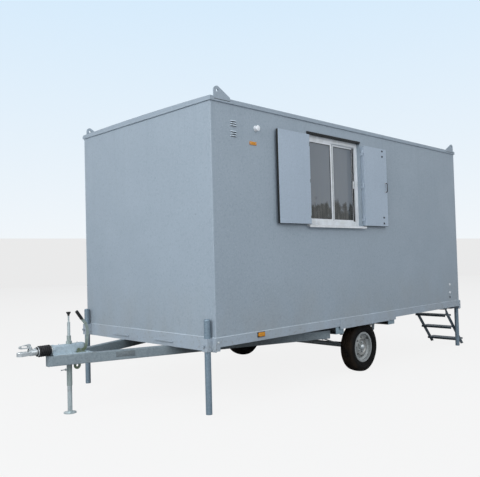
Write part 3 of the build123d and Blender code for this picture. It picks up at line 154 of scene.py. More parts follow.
MIX_SHARE, MIX_UNDER, MIX_OVER, MIX_RESULT = 0, 6, 7, 2  # the Mix node's sockets for colours


class Finish:
    """A surface finish, laid up in coats of colour, wear and grain over one shader."""

    def __init__(self, name, colour, roughness, metallic=0.0, **sockets):
        self.material = bpy.data.materials.new(name)
        self.material.use_nodes = True
        self.tree = self.material.node_tree
        self.shader = self.tree.nodes["Principled BSDF"]
        self.place = self.node("TexCoord").outputs["Object"]
        self.colour = (*linear(*colour), 1)
        self.normal = None
        self.shader.inputs["Roughness"].default_value = roughness
        self.shader.inputs["Metallic"].default_value = metallic
        for socket, value in sockets.items():
            self.shader.inputs[socket.replace("_", " ").title().replace("Ior", "IOR")].default_value = value

    def node(self, kind, **settings):
        """Add a shader node of a kind, with its settings."""
        made = self.tree.nodes.new("ShaderNode" + kind)
        for setting, value in settings.items():
            setattr(made, setting, value)
        return made

    def feed(self, socket, source):
        """Link a socket to another, or set it to a plain value."""
        if isinstance(source, bpy.types.NodeSocket):
            self.tree.links.new(source, socket)
        else:
            socket.default_value = source

    def stretched(self, stretch=(1, 1, 1), centre=(0, 0, 0)):
        """The place on the cabin, measured from a centre and stretched along each axis."""
        spot = self.node("Mapping")
        spot.inputs["Scale"].default_value = stretch
        spot.inputs["Location"].default_value = [-c * s for c, s in zip(centre, stretch)]
        self.feed(spot.inputs["Vector"], self.place)
        return spot.outputs["Vector"]

    def between(self, value, low, high, start=0.0, end=1.0):
        """A value carried from one range to another and held at its ends."""
        band = self.node("MapRange", clamp=True)
        for socket, bound in zip(("From Min", "From Max", "To Min", "To Max"), (low, high, start, end)):
            band.inputs[socket].default_value = bound
        self.feed(band.inputs["Value"], value)
        return band.outputs["Result"]

    def sums(self, operation, first, second=0.0):
        """The outcome of a sum on one or two values."""
        done = self.node("Math", operation=operation)
        self.feed(done.inputs[0], first)
        self.feed(done.inputs[1], second)
        return done.outputs["Value"]

    def patches(self, scale, low, high, stretch=(1, 1, 1), detail=4.0):
        """A mask of cloudy patches, 0 under one level of a noise and 1 over another."""
        cloud = self.node("TexNoise")
        cloud.inputs["Scale"].default_value = scale
        cloud.inputs["Detail"].default_value = detail
        self.feed(cloud.inputs["Vector"], self.stretched(stretch))
        return self.between(cloud.outputs["Fac"], low, high)

    def crystals(self, scale, low, high):
        """A mask of flat angular grains, each of its own level."""
        grains = self.node("TexVoronoi")
        grains.inputs["Scale"].default_value = scale
        self.feed(grains.inputs["Vector"], self.stretched())
        parts = self.node("SeparateColor")
        self.feed(parts.inputs["Color"], grains.outputs["Color"])
        return self.between(parts.outputs["Red"], low, high)

    def level(self, axis, low, high):
        """A mask that goes from 0 to 1 between two places along an axis."""
        split = self.node("SeparateXYZ")
        self.feed(split.inputs["Vector"], self.place)
        return self.between(split.outputs[axis], low, high)

    def from_centre(self, centre):
        """The place on the cabin along each axis, measured from a centre."""
        split = self.node("SeparateXYZ")
        self.feed(split.inputs["Vector"], self.stretched(centre=centre))
        return split.outputs

    def inside(self, reach, centre):
        """1 within a block about a centre, 0 outside it."""
        mask = None
        place = self.from_centre(centre)
        for axis, half in zip("XYZ", reach):
            near = self.sums("LESS_THAN", self.sums("ABSOLUTE", place[axis]), half)
            mask = near if mask is None else self.sums("MULTIPLY", mask, near)
        return mask

    def distance(self, centre, axes):
        """The distance from a centre, along the axes that are 1."""
        reach = self.node("VectorMath", operation="LENGTH")
        self.feed(reach.inputs[0], self.stretched(axes, centre))
        return reach.outputs["Value"]

    def from_axle(self):
        """The distance from the middle line of the wheels."""
        return self.distance(WHEEL_CENTRE, (1, 0, 1))

    def from_eye(self):
        """The distance along the floor from the spot that the camera stands over."""
        return self.distance(EYE_ON_FLOOR, (1, 1, 0))

    def coat(self, colour, where, strength=1.0):
        """Lay a colour over the ones below as far as a mask says."""
        mix = self.node("Mix", data_type="RGBA")
        share = self.sums("MULTIPLY", where, strength) if strength < 1 else where
        self.feed(mix.inputs[MIX_SHARE], share)
        self.feed(mix.inputs[MIX_UNDER], self.colour)
        mix.inputs[MIX_OVER].default_value = (*linear(*colour), 1)
        self.colour = mix.outputs[MIX_RESULT]

    def rub(self, where, smooth, rough):
        """Let the roughness run between two levels over a mask."""
        self.feed(self.shader.inputs["Roughness"], self.between(where, 0.0, 1.0, smooth, rough))

    def grain(self, height, depth, strength):
        """Raise the surface by a small depth where a mask is 1."""
        bump = self.node("Bump")
        bump.inputs["Distance"].default_value = depth
        bump.inputs["Strength"].default_value = strength
        self.feed(bump.inputs["Height"], height)
        if self.normal:
            self.feed(bump.inputs["Normal"], self.normal)
        self.normal = bump.outputs["Normal"]

    def done(self):
        """Join the last coat and the grain to the shader."""
        self.feed(self.shader.inputs["Base Color"], self.colour)
        if self.normal:
            self.feed(self.shader.inputs["Normal"], self.normal)
        return self.material


RUST = (104, 82, 62)
UNDER_CABIN_SHADE_BEGINS, UNDER_CABIN_SHADE_ENDS = (-1.99, -1.80), (-0.20, -1.00)  # painted shade under the cabin, along X: it begins under the front wall and ends by the axle


def tone(colour, step):
    """A colour made lighter or darker by the same step in each channel."""
    return tuple(head_shade + step for head_shade in colour)


def cabin_enamel(name, base, lined=False):
    """Rolled grey enamel: a fine stipple, faint clouds, rain runs from the top and road dust low down.

    A lined wall shows the room's pale lining on its inner faces.
    """
    paint = Finish(name, base, 0.45)
    paint.coat(tone(base, -5), paint.patches(0.9, 0.40, 0.66), 0.6)
    paint.coat(tone(base, 4), paint.patches(2.3, 0.46, 0.74), 0.6)
    paint.coat(tone(base, -16), paint.patches(46, 0.50, 0.72, detail=5), 0.55)
    paint.coat(tone(base, 14), paint.patches(78, 0.54, 0.72, detail=3), 0.5)
    runs = paint.patches(16, 0.56, 0.74, stretch=(1, 1, 0.045))
    paint.coat(tone(base, -20), paint.sums("MULTIPLY", runs, paint.level("Z", 1.7, 2.9)), 0.30)
    dust = paint.patches(5, 0.30, 0.75, stretch=(1, 1, 0.5))
    dust = paint.sums("MULTIPLY", dust, paint.level("Z", 1.25, 0.62))
    paint.coat((141, 138, 128), dust, 0.34)
    splash = paint.sums("MULTIPLY", paint.patches(34, 0.60, 0.68), paint.level("Z", 0.95, 0.60))
    paint.coat((112, 105, 93), splash, 0.35)
    paint.coat((116, 98, 82), paint.patches(23, 0.765, 0.80, detail=6), 0.55)
    paint.rub(paint.patches(3.0, 0.35, 0.65), 0.40, 0.56)
    paint.grain(paint.patches(230, 0.35, 0.70, detail=2), 0.00035, 0.7)
    paint.grain(paint.patches(3.5, 0.30, 0.70, detail=2), 0.0012, 0.15)
    if lined:
        lining = paint.inside(ROOM_REACH, CABIN_MIDDLE)
        paint.coat((205, 203, 196), lining)
        paint.coat((188, 184, 174), paint.sums("MULTIPLY", lining, paint.patches(6, 0.45, 0.7)), 0.5)
    return paint.done()


def hot_dip_zinc(name, base, bloom, shaded_under_cabin=False):
    """Galvanised steel: dull crystals, a white bloom, brown road film and specks of rust.

    Steel can also take a dark painted shade where it runs under the cabin, up to the first cross-member.
    """
    zinc = Finish(name, base, 0.5, 0.45)
    zinc.coat(tone(base, -18), zinc.crystals(75, 0.15, 0.95), 0.5)
    zinc.coat(tone(base, 16), zinc.crystals(120, 0.60, 1.00), 0.5)
    zinc.coat(tone(base, 26), zinc.patches(6, 0.50, 0.74, detail=6), bloom)
    zinc.coat((116, 112, 102), zinc.patches(9, 0.58, 0.76, detail=6), 0.22)
    zinc.coat(RUST, zinc.patches(38, 0.72, 0.78, detail=5), 0.45)
    if shaded_under_cabin:
        # Painted shade: the beams darken where they run in the cabin's shadow.
        dust_film_and_shade = zinc.sums("MULTIPLY", zinc.level("X", *UNDER_CABIN_SHADE_BEGINS), zinc.level("X", *UNDER_CABIN_SHADE_ENDS))
        zinc.coat((46, 48, 45), dust_film_and_shade, 0.66)
    zinc.rub(zinc.crystals(75, 0.0, 1.0), 0.42, 0.66)
    zinc.grain(zinc.patches(60, 0.35, 0.7), 0.0006, 0.5)
    return zinc.done()


def bright_zinc():
    """Zinc plated steel with a faint yellow cast and handling marks."""
    plate = Finish("bright_zinc_plate", (212, 218, 220), 0.3, 0.8)
    plate.coat((204, 198, 172), plate.patches(24, 0.5, 0.75, detail=5), 0.3)
    plate.coat((140, 144, 142), plate.patches(95, 0.55, 0.72), 0.6)
    plate.coat((96, 84, 68), plate.patches(52, 0.68, 0.76, detail=6), 0.55)
    plate.rub(plate.patches(30, 0.3, 0.7), 0.26, 0.5)
    plate.grain(plate.patches(320, 0.4, 0.7), 0.00015, 0.5)
    return plate.done()


def brake_plating():
    """Pale plating on the handbrake that turns olive where oil from the housing has run down its foot."""
    plate = Finish("brake_plating", (158, 172, 168), 0.42, 0.5)
    plate.coat((132, 144, 132), plate.patches(26, 0.45, 0.70, detail=5), 0.6)
    oil = plate.sums("MULTIPLY", plate.level("Z", 0.70, 0.60), plate.patches(18, 0.24, 0.52, detail=5))
    plate.coat((96, 108, 74), oil, 0.85)
    plate.coat(RUST, plate.patches(48, 0.66, 0.76, detail=6), 0.5)
    plate.rub(plate.patches(36, 0.3, 0.7), 0.3, 0.56)
    plate.grain(plate.patches(260, 0.4, 0.7), 0.0002, 0.5)
    return plate.done()


def greased_bar():
    """Bare steel bar that slides through its clamp, oily and lined along its length."""
    bar = Finish("greased_bar_steel", (200, 212, 214), 0.3, 0.7)
    bar.coat((112, 116, 112), bar.patches(18, 0.46, 0.74, stretch=(1, 1, 0.3)), 0.6)
    bar.coat((104, 72, 50), bar.patches(44, 0.62, 0.74, detail=6), 0.45)
    bar.rub(bar.patches(40, 0.3, 0.7, stretch=(1, 1, 0.12)), 0.22, 0.5)
    bar.grain(bar.patches(380, 0.4, 0.6, stretch=(1, 1, 0.03)), 0.0002, 0.6)
    return bar.done()


def white_window_bar():
    """White powder coat on aluminium, with grey dirt settled at the foot of the window."""
    bar = Finish("white_window_bar", (228, 232, 236), 0.38)
    bar.coat((212, 216, 218), bar.patches(9, 0.42, 0.7))
    grime = bar.sums("MULTIPLY", bar.patches(11, 0.40, 0.72, detail=6), bar.level("Z", 2.05, 1.76))
    bar.coat((170, 168, 160), grime, 0.35)
    bar.coat((178, 180, 180), bar.patches(60, 0.6, 0.75, stretch=(1, 1, 0.08)), 0.4)
    bar.rub(bar.patches(14, 0.3, 0.7), 0.32, 0.48)
    bar.grain(bar.patches(420, 0.4, 0.7), 0.0001, 0.5)
    return bar.done()


def window_pane():
    """Tinted float glass with a painted reflection of trees, dark with an uneven top, at its foot, and a film
    of dust and dried rain.
    """
    pane = Finish("tinted_window_pane", (166, 174, 182), 0.03, Transmission_Weight=0.58, IOR=1.5)
    # Painted reflection: a dark olive band at the foot of the pane stands in for trees mirrored in the glass.
    reflection_top_edge = pane.sums("MULTIPLY", pane.patches(7.5, 0.40, 0.60, stretch=(1, 1, 0.7), detail=6), 0.55)
    foot = pane.between(pane.sums("ADD", pane.level("Z", 2.16, 1.86), reflection_top_edge), 0.72, 0.98)
    pane.coat((52, 52, 38), foot, 0.92)
    # A pale film of dust and dried rain, heavier low down.
    dust_film_and_shade = pane.patches(42, 0.46, 0.74, stretch=(1, 1, 0.10))
    dust_film_and_shade = pane.sums("MULTIPLY", dust_film_and_shade, pane.level("Z", 2.75, 1.80))
    pane.coat((188, 188, 182), dust_film_and_shade, 0.55)
    pane.rub(dust_film_and_shade, 0.02, 0.22)
    pane.grain(pane.patches(2.2, 0.3, 0.7), 0.0012, 0.18)
    return pane.done()


def floor_sheet():
    """Worn brown floor sheet with a woodgrain along the cabin and patches of grit."""
    sheet = Finish("cabin_floor_sheet", (112, 92, 72), 0.5)
    sheet.coat((88, 70, 54), sheet.patches(30, 0.42, 0.66, stretch=(0.06, 1, 1), detail=6))
    sheet.coat((136, 114, 90), sheet.patches(70, 0.55, 0.72, stretch=(0.04, 1, 1)), 0.6)
    sheet.coat((146, 140, 128), sheet.patches(5, 0.55, 0.75), 0.35)
    sheet.rub(sheet.patches(6, 0.3, 0.7), 0.36, 0.62)
    sheet.grain(sheet.patches(90, 0.4, 0.66, stretch=(0.04, 1, 1)), 0.0004, 0.5)
    return sheet.done()


def road_tyre():
    """Black tyre: moulded rings and sipes, grey bloom on the wall and a brown band of dried mud."""
    tyre = Finish("road_tyre_rubber", (8, 8, 8), 0.78, Specular_IOR_Level=0.18)
    out = tyre.from_axle()
    tyre.coat((17, 16, 15), tyre.patches(12, 0.42, 0.74, detail=5), 0.6)
    band = tyre.sums("MULTIPLY", tyre.between(out, 0.246, 0.286), tyre.patches(9, 0.30, 0.62))
    tyre.coat((62, 48, 35), band, 0.45)
    tyre.coat((84, 70, 54), tyre.patches(48, 0.66, 0.76, detail=6), 0.3)
    line = tyre.between(tyre.sums("ABSOLUTE", tyre.sums("SUBTRACT", out, 0.232)), 0.003, 0.0)
    tyre.coat((38, 37, 35), line, 0.7)
    rings = tyre.between(tyre.sums("SINE", tyre.sums("MULTIPLY", out, 1250.0)), -0.2, 0.6)
    tyre.grain(tyre.sums("MULTIPLY", tyre.between(out, 0.262, 0.250), rings), 0.0010, 0.8)
    place = tyre.from_centre(WHEEL_CENTRE)
    turn = tyre.sums("MULTIPLY", tyre.sums("ARCTAN2", place["X"], place["Z"]), 72.0)
    slant = tyre.sums("ADD", turn, tyre.sums("MULTIPLY", place["Y"], 60.0))
    sipes = tyre.between(tyre.sums("SINE", slant), -0.35, -0.05)
    tread = tyre.sums("MAXIMUM", sipes, tyre.between(out, 0.290, 0.276))
    tyre.grain(tread, 0.0045, 0.9)
    tyre.rub(tyre.patches(20, 0.3, 0.7), 0.66, 0.9)
    return tyre.done()


def gaiter_bellows():
    """Matt black rubber, grey in patches of dust."""
    rubber = Finish("gaiter_bellows_rubber", (14, 15, 19), 0.55)
    rubber.coat((34, 34, 35), rubber.patches(30, 0.46, 0.76, detail=5), 0.6)
    rubber.coat((74, 70, 64), rubber.patches(85, 0.66, 0.76), 0.4)
    rubber.rub(rubber.patches(40, 0.3, 0.7), 0.5, 0.8)
    rubber.grain(rubber.patches(240, 0.35, 0.7), 0.0004, 0.6)
    return rubber.done()


def black_moulding():
    """Black moulded plastic and rubber trim with a leather grain and a dusty film."""
    trim = Finish("black_moulding", (20, 21, 23), 0.45)
    trim.coat((42, 42, 43), trim.patches(26, 0.52, 0.76, detail=5), 0.5)
    trim.rub(trim.patches(50, 0.3, 0.7), 0.4, 0.66)
    trim.grain(trim.crystals(520, 0.1, 0.9), 0.0003, 0.6)
    return trim.done()


def amber_lens():
    """Amber acrylic with rows of small prisms moulded behind the face."""
    lens = Finish("amber_lens", (238, 168, 40), 0.18, Transmission_Weight=0.25, IOR=1.49)
    weave = lens.node("TexVoronoi")
    weave.inputs["Scale"].default_value = 210
    weave.inputs["Randomness"].default_value = 0.0
    lens.feed(weave.inputs["Vector"], lens.stretched())
    prisms = lens.between(weave.outputs["Distance"], 0.1, 0.6)
    lens.coat((216, 130, 26), prisms, 0.6)
    lens.coat((240, 180, 90), lens.patches(60, 0.6, 0.72), 0.4)
    lens.grain(prisms, 0.0009, 0.6)
    lens.rub(lens.patches(70, 0.3, 0.7), 0.12, 0.3)
    return lens.done()


def wheel_zinc():
    """The rims' zinc, brushed round by the road, with brake dust in the middle."""
    base = (176, 180, 180)
    rim = Finish("wheel_zinc", base, 0.42, 0.6)
    out = rim.from_axle()
    rim.coat(tone(base, -26), rim.crystals(85, 0.2, 0.95), 0.6)
    rim.coat(tone(base, 26), rim.patches(10, 0.5, 0.7, detail=5), 0.5)
    dust = rim.sums("MULTIPLY", rim.between(out, 0.150, 0.095), rim.patches(22, 0.36, 0.7))
    rim.coat((112, 98, 82), dust, 0.6)
    rim.coat((110, 84, 60), rim.patches(50, 0.66, 0.74, detail=5), 0.5)
    rim.rub(rim.crystals(85, 0.0, 1.0), 0.34, 0.6)
    rim.grain(rim.patches(90, 0.35, 0.7), 0.0005, 0.5)
    return rim.done()


def dress(finish, *names):
    """Give CAD nodes a finish without touching their shape."""
    for name in names:
        if not nodes[name].material_slots:
            nodes[name].data.materials.append(finish)
        for slot in nodes[name].material_slots:
            slot.material = finish


wall_enamel = cabin_enamel("wall_enamel", (150, 163, 174), lined=True)
shutter_enamel = cabin_enamel("shutter_enamel", (165, 179, 193))
rail_enamel = cabin_enamel("rail_enamel", (158, 171, 183))
# A pale enamel that paints highlights: the lit top of the rails' ledge and the lit hoods of the louvres.
highlight_enamel = cabin_enamel("pale_highlight_enamel", (194, 206, 216))
frame_zinc = hot_dip_zinc("frame_zinc", (146, 153, 156), 0.3)
# The drawbar beams' zinc carries painted shade under the cabin.
beam_zinc = hot_dip_zinc("beam_zinc", (138, 150, 156), 0.25, shaded_under_cabin=True)
leg_zinc = hot_dip_zinc("leg_zinc", (126, 144, 157), 0.2)
step_zinc = hot_dip_zinc("step_zinc", (76, 88, 97), 0.15)
guide_zinc = hot_dip_zinc("guide_zinc", (154, 166, 164), 0.25)
cap_zinc = hot_dip_zinc("cap_zinc", (152, 172, 182), 0.25)
housing_zinc = hot_dip_zinc("housing_zinc", (172, 188, 197), 0.4)
plain_plate = hot_dip_zinc("plain_plate_zinc", (118, 127, 131), 0.1)
brake_chromate = brake_plating()
zinc_plate = bright_zinc()
bar_steel = greased_bar()
window_white = white_window_bar()
pane_glass = window_pane()
floor_finish = floor_sheet()
tyre_rubber = road_tyre()
gaiter_rubber = gaiter_bellows()
black_trim = black_moulding()
lens_amber = amber_lens()
rim_zinc = wheel_zinc()

dress(wall_enamel, "front_wall", "rear_wall", "window_side_wall", "far_side_wall", "roof_panel", "roof_cap",
      "lifting_eyes", "door_frame")
dress(shutter_enamel, "shutter_left", "shutter_right", "shutter_hinges", "door_leaf")
# Painted highlight: the louvres' hoods take the pale enamel for their lit tops.
dress(highlight_enamel, "louvre_vents")
dress(rail_enamel, "side_rail_window", "side_rail_far", "front_rail", "rear_rail", "leg_sockets")
dress(frame_zinc, "floor_joists", "cross_member_front", "cross_member_rear", "axle_beam", "leaf_springs",
      "step_bearer")
dress(beam_zinc, "drawbar_beam_window", "drawbar_beam_far", "drawbar_nose")
dress(housing_zinc, "overrun_housing")
dress(leg_zinc, "leg_front_window", "leg_front_far", "leg_rear_window", "leg_rear_far")
dress(step_zinc, "step_stringers", "step_treads")
dress(guide_zinc, "prop_guide")
dress(brake_chromate, "handbrake_lever", "handbrake_bracket")
dress(zinc_plate, "coupling_head", "coupling_handle", "door_handle", "hub_window", "hub_far")
dress(bar_steel, "prop_leg")
dress(window_white, "window_frame", "window_sashes", "window_sill", "pipe_outlet")
dress(pane_glass, "window_glass")
dress(floor_finish, "floor")
dress(tyre_rubber, "tyre_window", "tyre_far")
dress(gaiter_rubber, "gaiter")
dress(black_trim, "handbrake_grip", "prop_knob", "shutter_pull")
dress(lens_amber, "side_reflector", "side_lamp")
dress(rim_zinc, "rim_window", "rim_far")


# The studio's floor and backdrop

PAPER_TURNS = (6.0, 30.0)
PAPER_GLOW = 0.88
PAPER_BOUNCE = (150, 152, 154)
FLOOR_REACH = 60.0
BACKDROP_SIZE = (70, 8, 1)
BACKDROP_AWAY = 34.0


def paper(name, near, far):
    """Pale studio paper, plain to the camera but still taking part of the cabin's shadow."""
    made = Finish(name, near, 0.9)
    made.coat(far, made.between(made.from_eye(), *PAPER_TURNS))
    glow = made.node("Emission")
    both = made.node("MixShader")
    made.feed(glow.inputs["Color"], made.colour)
    made.feed(both.inputs["Fac"],
              made.sums("MULTIPLY", made.node("LightPath").outputs["Is Camera Ray"], PAPER_GLOW))
    made.feed(both.inputs[1], made.shader.outputs["BSDF"])
    made.feed(both.inputs[2], glow.outputs["Emission"])
    made.feed(made.tree.nodes["Material Output"].inputs["Surface"], both.outputs["Shader"])
    # The glow has its colour by now, so this coat only dims what the paper throws back under the cabin.
    made.coat(PAPER_BOUNCE, 1.0)
    return made.done()


def stand(shape, name, finish):
    """Close a shape into a part of the studio, which doesn't belong to the cabin."""
    mesh = bpy.data.meshes.new(name)
    shape.to_mesh(mesh)
    shape.free()
    mesh.materials.append(finish)
    piece = bpy.data.objects.new(name, mesh)
    bpy.context.scene.collection.objects.link(piece)


def room():
    """A wide pale floor, and a low backdrop behind the cabin that carries its colour up to the skyline."""
    shape = bmesh.new()
    bmesh.ops.create_circle(shape, cap_ends=True, segments=64, radius=FLOOR_REACH)
    stand(shape, "studio_floor", paper("floor_paper", (254, 254, 254), (246, 246, 246)))
    shape = bmesh.new()
    camera = bpy.context.scene.camera
    right, up, back = (camera.matrix_world.to_3x3().col[i] for i in range(3))
    made = bmesh.ops.create_grid(shape, x_segments=24, y_segments=2, size=0.5)["verts"]
    bmesh.ops.scale(shape, vec=BACKDROP_SIZE, verts=made)
    bmesh.ops.translate(shape, vec=(0, -BACKDROP_SIZE[1] / 2, 0), verts=made)
    bmesh.ops.transform(shape, matrix=Matrix((right, up, back)).transposed(), verts=made)
    bmesh.ops.translate(shape, vec=camera.location - back * BACKDROP_AWAY, verts=made)
    stand(shape, "studio_backdrop", paper("backdrop_paper", (245, 245, 245), (245, 245, 245)))


# Small pieces, each shaped by bmesh operators and riding on its body

CREASE = 0.7  # radians between faces from which an edge shows as sharp


class Piece:
    """A small fitting that is built up in one bmesh and then hung on a body of the cabin."""

    def __init__(self):
        self.shape = bmesh.new()

    def turned(self, start, way, profile, sides=24):
        """Turn a profile of (along, radius) points about a line; six sides make a nut."""
        start, way = Vector(start), Vector(way).normalized()
        out = way.orthogonal().normalized()
        points = [self.shape.verts.new(start + way * along + out * radius) for along, radius in profile]
        edges = [self.shape.edges.new(pair) for pair in zip(points, points[1:])]
        bmesh.ops.spin(self.shape, geom=points + edges, cent=start, axis=way, dvec=(0, 0, 0),
                       angle=2 * pi, steps=sides, use_merge=True)

    def bolt(self, start, way, size, head):
        """A washer with a chamfered hexagon head on it."""
        seat, washer = 0.12 * size, 1.25 * size
        nut = [(seat, 0), (seat, size), (head * 0.85, size), (head, 0.82 * size), (head, 0)]
        self.turned(start, way, [(0, 0), (0, washer), (seat, washer), (seat, 0)])
        self.turned(start, way, nut, 6)

    def screw(self, start, way, radius, height):
        """A domed screw head with a dimple in its crown."""
        dome = [(0, 0), (0, radius), (0.45 * height, 0.92 * radius), (0.9 * height, 0.6 * radius),
                (height, 0.34 * radius), (0.55 * height, 0.20 * radius), (0.5 * height, 0)]
        self.turned(start, way, dome, 12)

    def plate(self, low, high, round_off=0.001, turn=None):
        """A plate between two corners with its edges eased."""
        low, high = Vector(low), Vector(high)
        made = bmesh.ops.create_cube(self.shape, size=1.0)["verts"]
        size = high - low
        bmesh.ops.scale(self.shape, vec=size, verts=made)
        if turn:
            bmesh.ops.rotate(self.shape, cent=(0, 0, 0), matrix=turn, verts=made)
        bmesh.ops.translate(self.shape, vec=(low + high) / 2, verts=made)
        edges = list({edge for vert in made for edge in vert.link_edges})
        bmesh.ops.bevel(self.shape, geom=edges, offset=round_off, segments=2, profile=0.5, affect="EDGES",
                        material=-1)

    def border(self, low, high, band, depth, round_off=0.0008):
        """A strip round the edge of an upright rectangle that faces -Y, standing out by its depth."""
        middle = [(a + b) / 2 for a, b in zip(low, high)]
        made = bmesh.ops.create_grid(self.shape, x_segments=1, y_segments=1, size=0.5)["verts"]
        bmesh.ops.rotate(self.shape, cent=(0, 0, 0), matrix=Matrix.Rotation(pi / 2, 3, "X"), verts=made)
        bmesh.ops.scale(self.shape, vec=(high[0] - low[0], 1, high[2] - low[2]), verts=made)
        bmesh.ops.translate(self.shape, vec=middle, verts=made)
        face = next(iter({f for v in made for f in v.link_faces}))
        bmesh.ops.inset_individual(self.shape, faces=[face], thickness=band, use_even_offset=True)
        strip = list({f for v in made for f in v.link_faces if f is not face})
        bmesh.ops.delete(self.shape, geom=[face], context="FACES_ONLY")
        raised = bmesh.ops.extrude_face_region(self.shape, geom=strip)["geom"]
        front = [v for v in raised if isinstance(v, bmesh.types.BMVert)]
        bmesh.ops.translate(self.shape, vec=(0, -depth, 0), verts=front)
        rim = [e for e in {e for v in front for e in v.link_edges} if all(v in front for v in e.verts)]
        bmesh.ops.bevel(self.shape, geom=rim, offset=round_off, segments=2, profile=0.5, affect="EDGES",
                        material=-1)

    def weld(self, start, end, radius=0.0035):
        """A rippled bead of weld between two points."""
        start, end = Vector(start), Vector(end)
        way = end - start
        count = max(4, round(way.length / 0.005))
        facing = Matrix.Translation(start) @ way.to_track_quat("Z", "Y").to_matrix().to_4x4()
        made = bmesh.ops.create_circle(self.shape, cap_ends=True, segments=8, radius=radius * 0.6,
                                       matrix=facing)
        face = made["verts"][0].link_faces[0]
        for step in range(1, count + 1):
            grown = bmesh.ops.extrude_discrete_faces(self.shape, faces=[face])["faces"][0]
            middle = grown.calc_center_median()
            swell = (1.22, 0.80)[step % 2] if 1 < step < count else 0.9
            bmesh.ops.translate(self.shape, vec=way / count, verts=grown.verts[:])
            bmesh.ops.scale(self.shape, vec=(swell,) * 3, verts=grown.verts[:],
                            space=Matrix.Translation(-(middle + way / count)))
            face = grown

    def close(self, name, slot, finish):
        """Close the shape into an object at the origin."""
        bmesh.ops.remove_doubles(self.shape, verts=self.shape.verts[:], dist=1e-6)
        bmesh.ops.recalc_face_normals(self.shape, faces=self.shape.faces[:])
        mesh = bpy.data.meshes.new(name)
        self.shape.to_mesh(mesh)
        self.shape.free()
        mesh.shade_smooth()
        mesh.set_sharp_from_angle(angle=CREASE)
        mesh.materials.append(finish)
        piece = bpy.data.objects.new(name, mesh)
        bpy.context.scene.collection.objects.link(piece)
        return piece

    def hang(self, name, body, slot, finish):
        """Close the shape and let it ride on a body."""
        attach(self.close(name, slot, finish), body)


# Where the fittings sit, in metres: heights run up from the ground, and strips and eyes along X

PANE_HEIGHTS = (1.850, 2.715)
STILE_HEIGHTS = (1.835, 2.730)
LEDGE = 0.6952
SOCKET_HEIGHTS = (0.580, 0.692)
EYE_STARTS, EYE_LENGTH = (-1.929, 2.760), 0.209
ROOF_STRIPS = (-1.3475, -0.1025, 1.1425, 2.3875)
ROOF_TOP, ROOF_BEND = 2.977, 78.5  # the roof falls by the square of the way out over the bend
DRAW_HEIGHT = 0.620
HOUSING_TOP = 0.656
COUPLING_PIN = (-3.2170, 0.668)
BEAM_ANGLE, BEAM_SLOPE, BEAM_AT_WALL = -0.3316, 0.3443, 0.417  # a beam's turn, its tangent and its place


def beam_face(x, side=-1):
    """The outer face of a drawbar beam at a place along the cabin."""
    return side * (BEAM_AT_WALL + BEAM_SLOPE * (x - WALL_ENDS[0]))


def outward(face, way, near, far):
    """Two places off a face, by their distances along a way of -1 or 1, the lower place first."""
    return sorted((face + way * near, face + way * far))


def window_fittings():
    """Glazing seals, black strips on the sashes' stiles and over the frame's head as painted shade in the
    opening, the middle stile's cover, the frame's sealant and its drain covers.
    """
    low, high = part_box("window_frame")
    foot, head = PANE_HEIGHTS
    seals = Piece()
    for left, right, pane in ((-0.480, -0.058, -1.088), (-0.022, 0.400, -1.071)):
        seals.border((left, pane, foot), (right, pane, head), 0.007, 0.003)
    seals.hang("glazing_seals", "cabin", "gaiter_rubber", black_trim)
    # Painted shade: black strips on the sashes' stiles stand in for the shade at the jamb and the middle.
    stile_shade = Piece()
    foot, head = STILE_HEIGHTS
    stile_shade.plate((0.4015, -1.0786, foot), (0.4285, -1.0770, head), 0.0006)
    stile_shade.plate((-0.0276, -1.0936, foot), (-0.0204, -1.0712, head), 0.0010)
    stile_shade.hang("sash_stile_shade", "cabin", "gaiter_rubber", black_trim)
    meeting = Piece()
    meeting.plate((-0.0200, -1.0850, 1.8505), (0.0090, -1.0712, 2.7145), 0.0025)
    meeting.plate((-0.0090, -1.0865, 1.8600), (-0.0020, -1.0840, 2.7050), 0.0008)
    meeting.hang("meeting_stile", "cabin", "white_aluminium", window_white)
    # Painted shade: a black strip over the frame's head stands in for the shade in the top of the opening.
    head_shade = Piece()
    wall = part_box("window_side_wall")[0][1]
    left, right, top = low[0] - 0.004, high[0] + 0.004, high[2] + 0.018
    head_shade.plate((left, wall - 0.004, high[2] - 0.001), (right, wall, top))
    head_shade.plate((left, wall - 0.009, high[2] + 0.014), (right, wall, top))
    head_shade.plate((low[0] + 0.001, wall, high[2] - 0.0035),
                  (high[0] - 0.001, low[1] - 0.0005, high[2] - 0.0005))
    head_shade.hang("window_head_shade_strip", "cabin", "black_plastic", black_trim)
    bead = Piece()
    bead.border(low, (high[0], low[1], high[2]), 0.006, 0.004, 0.0015)
    bead.hang("frame_sealant", "cabin", "white_aluminium", window_white)
    drains = Piece()
    for x in (low[0] + 0.21, high[0] - 0.21):
        drains.plate((x - 0.018, low[1] - 0.004, low[2] + 0.015), (x + 0.018, low[1], low[2] + 0.024), 0.0015)
    drains.hang("drain_covers", "cabin", "white_aluminium", window_white)


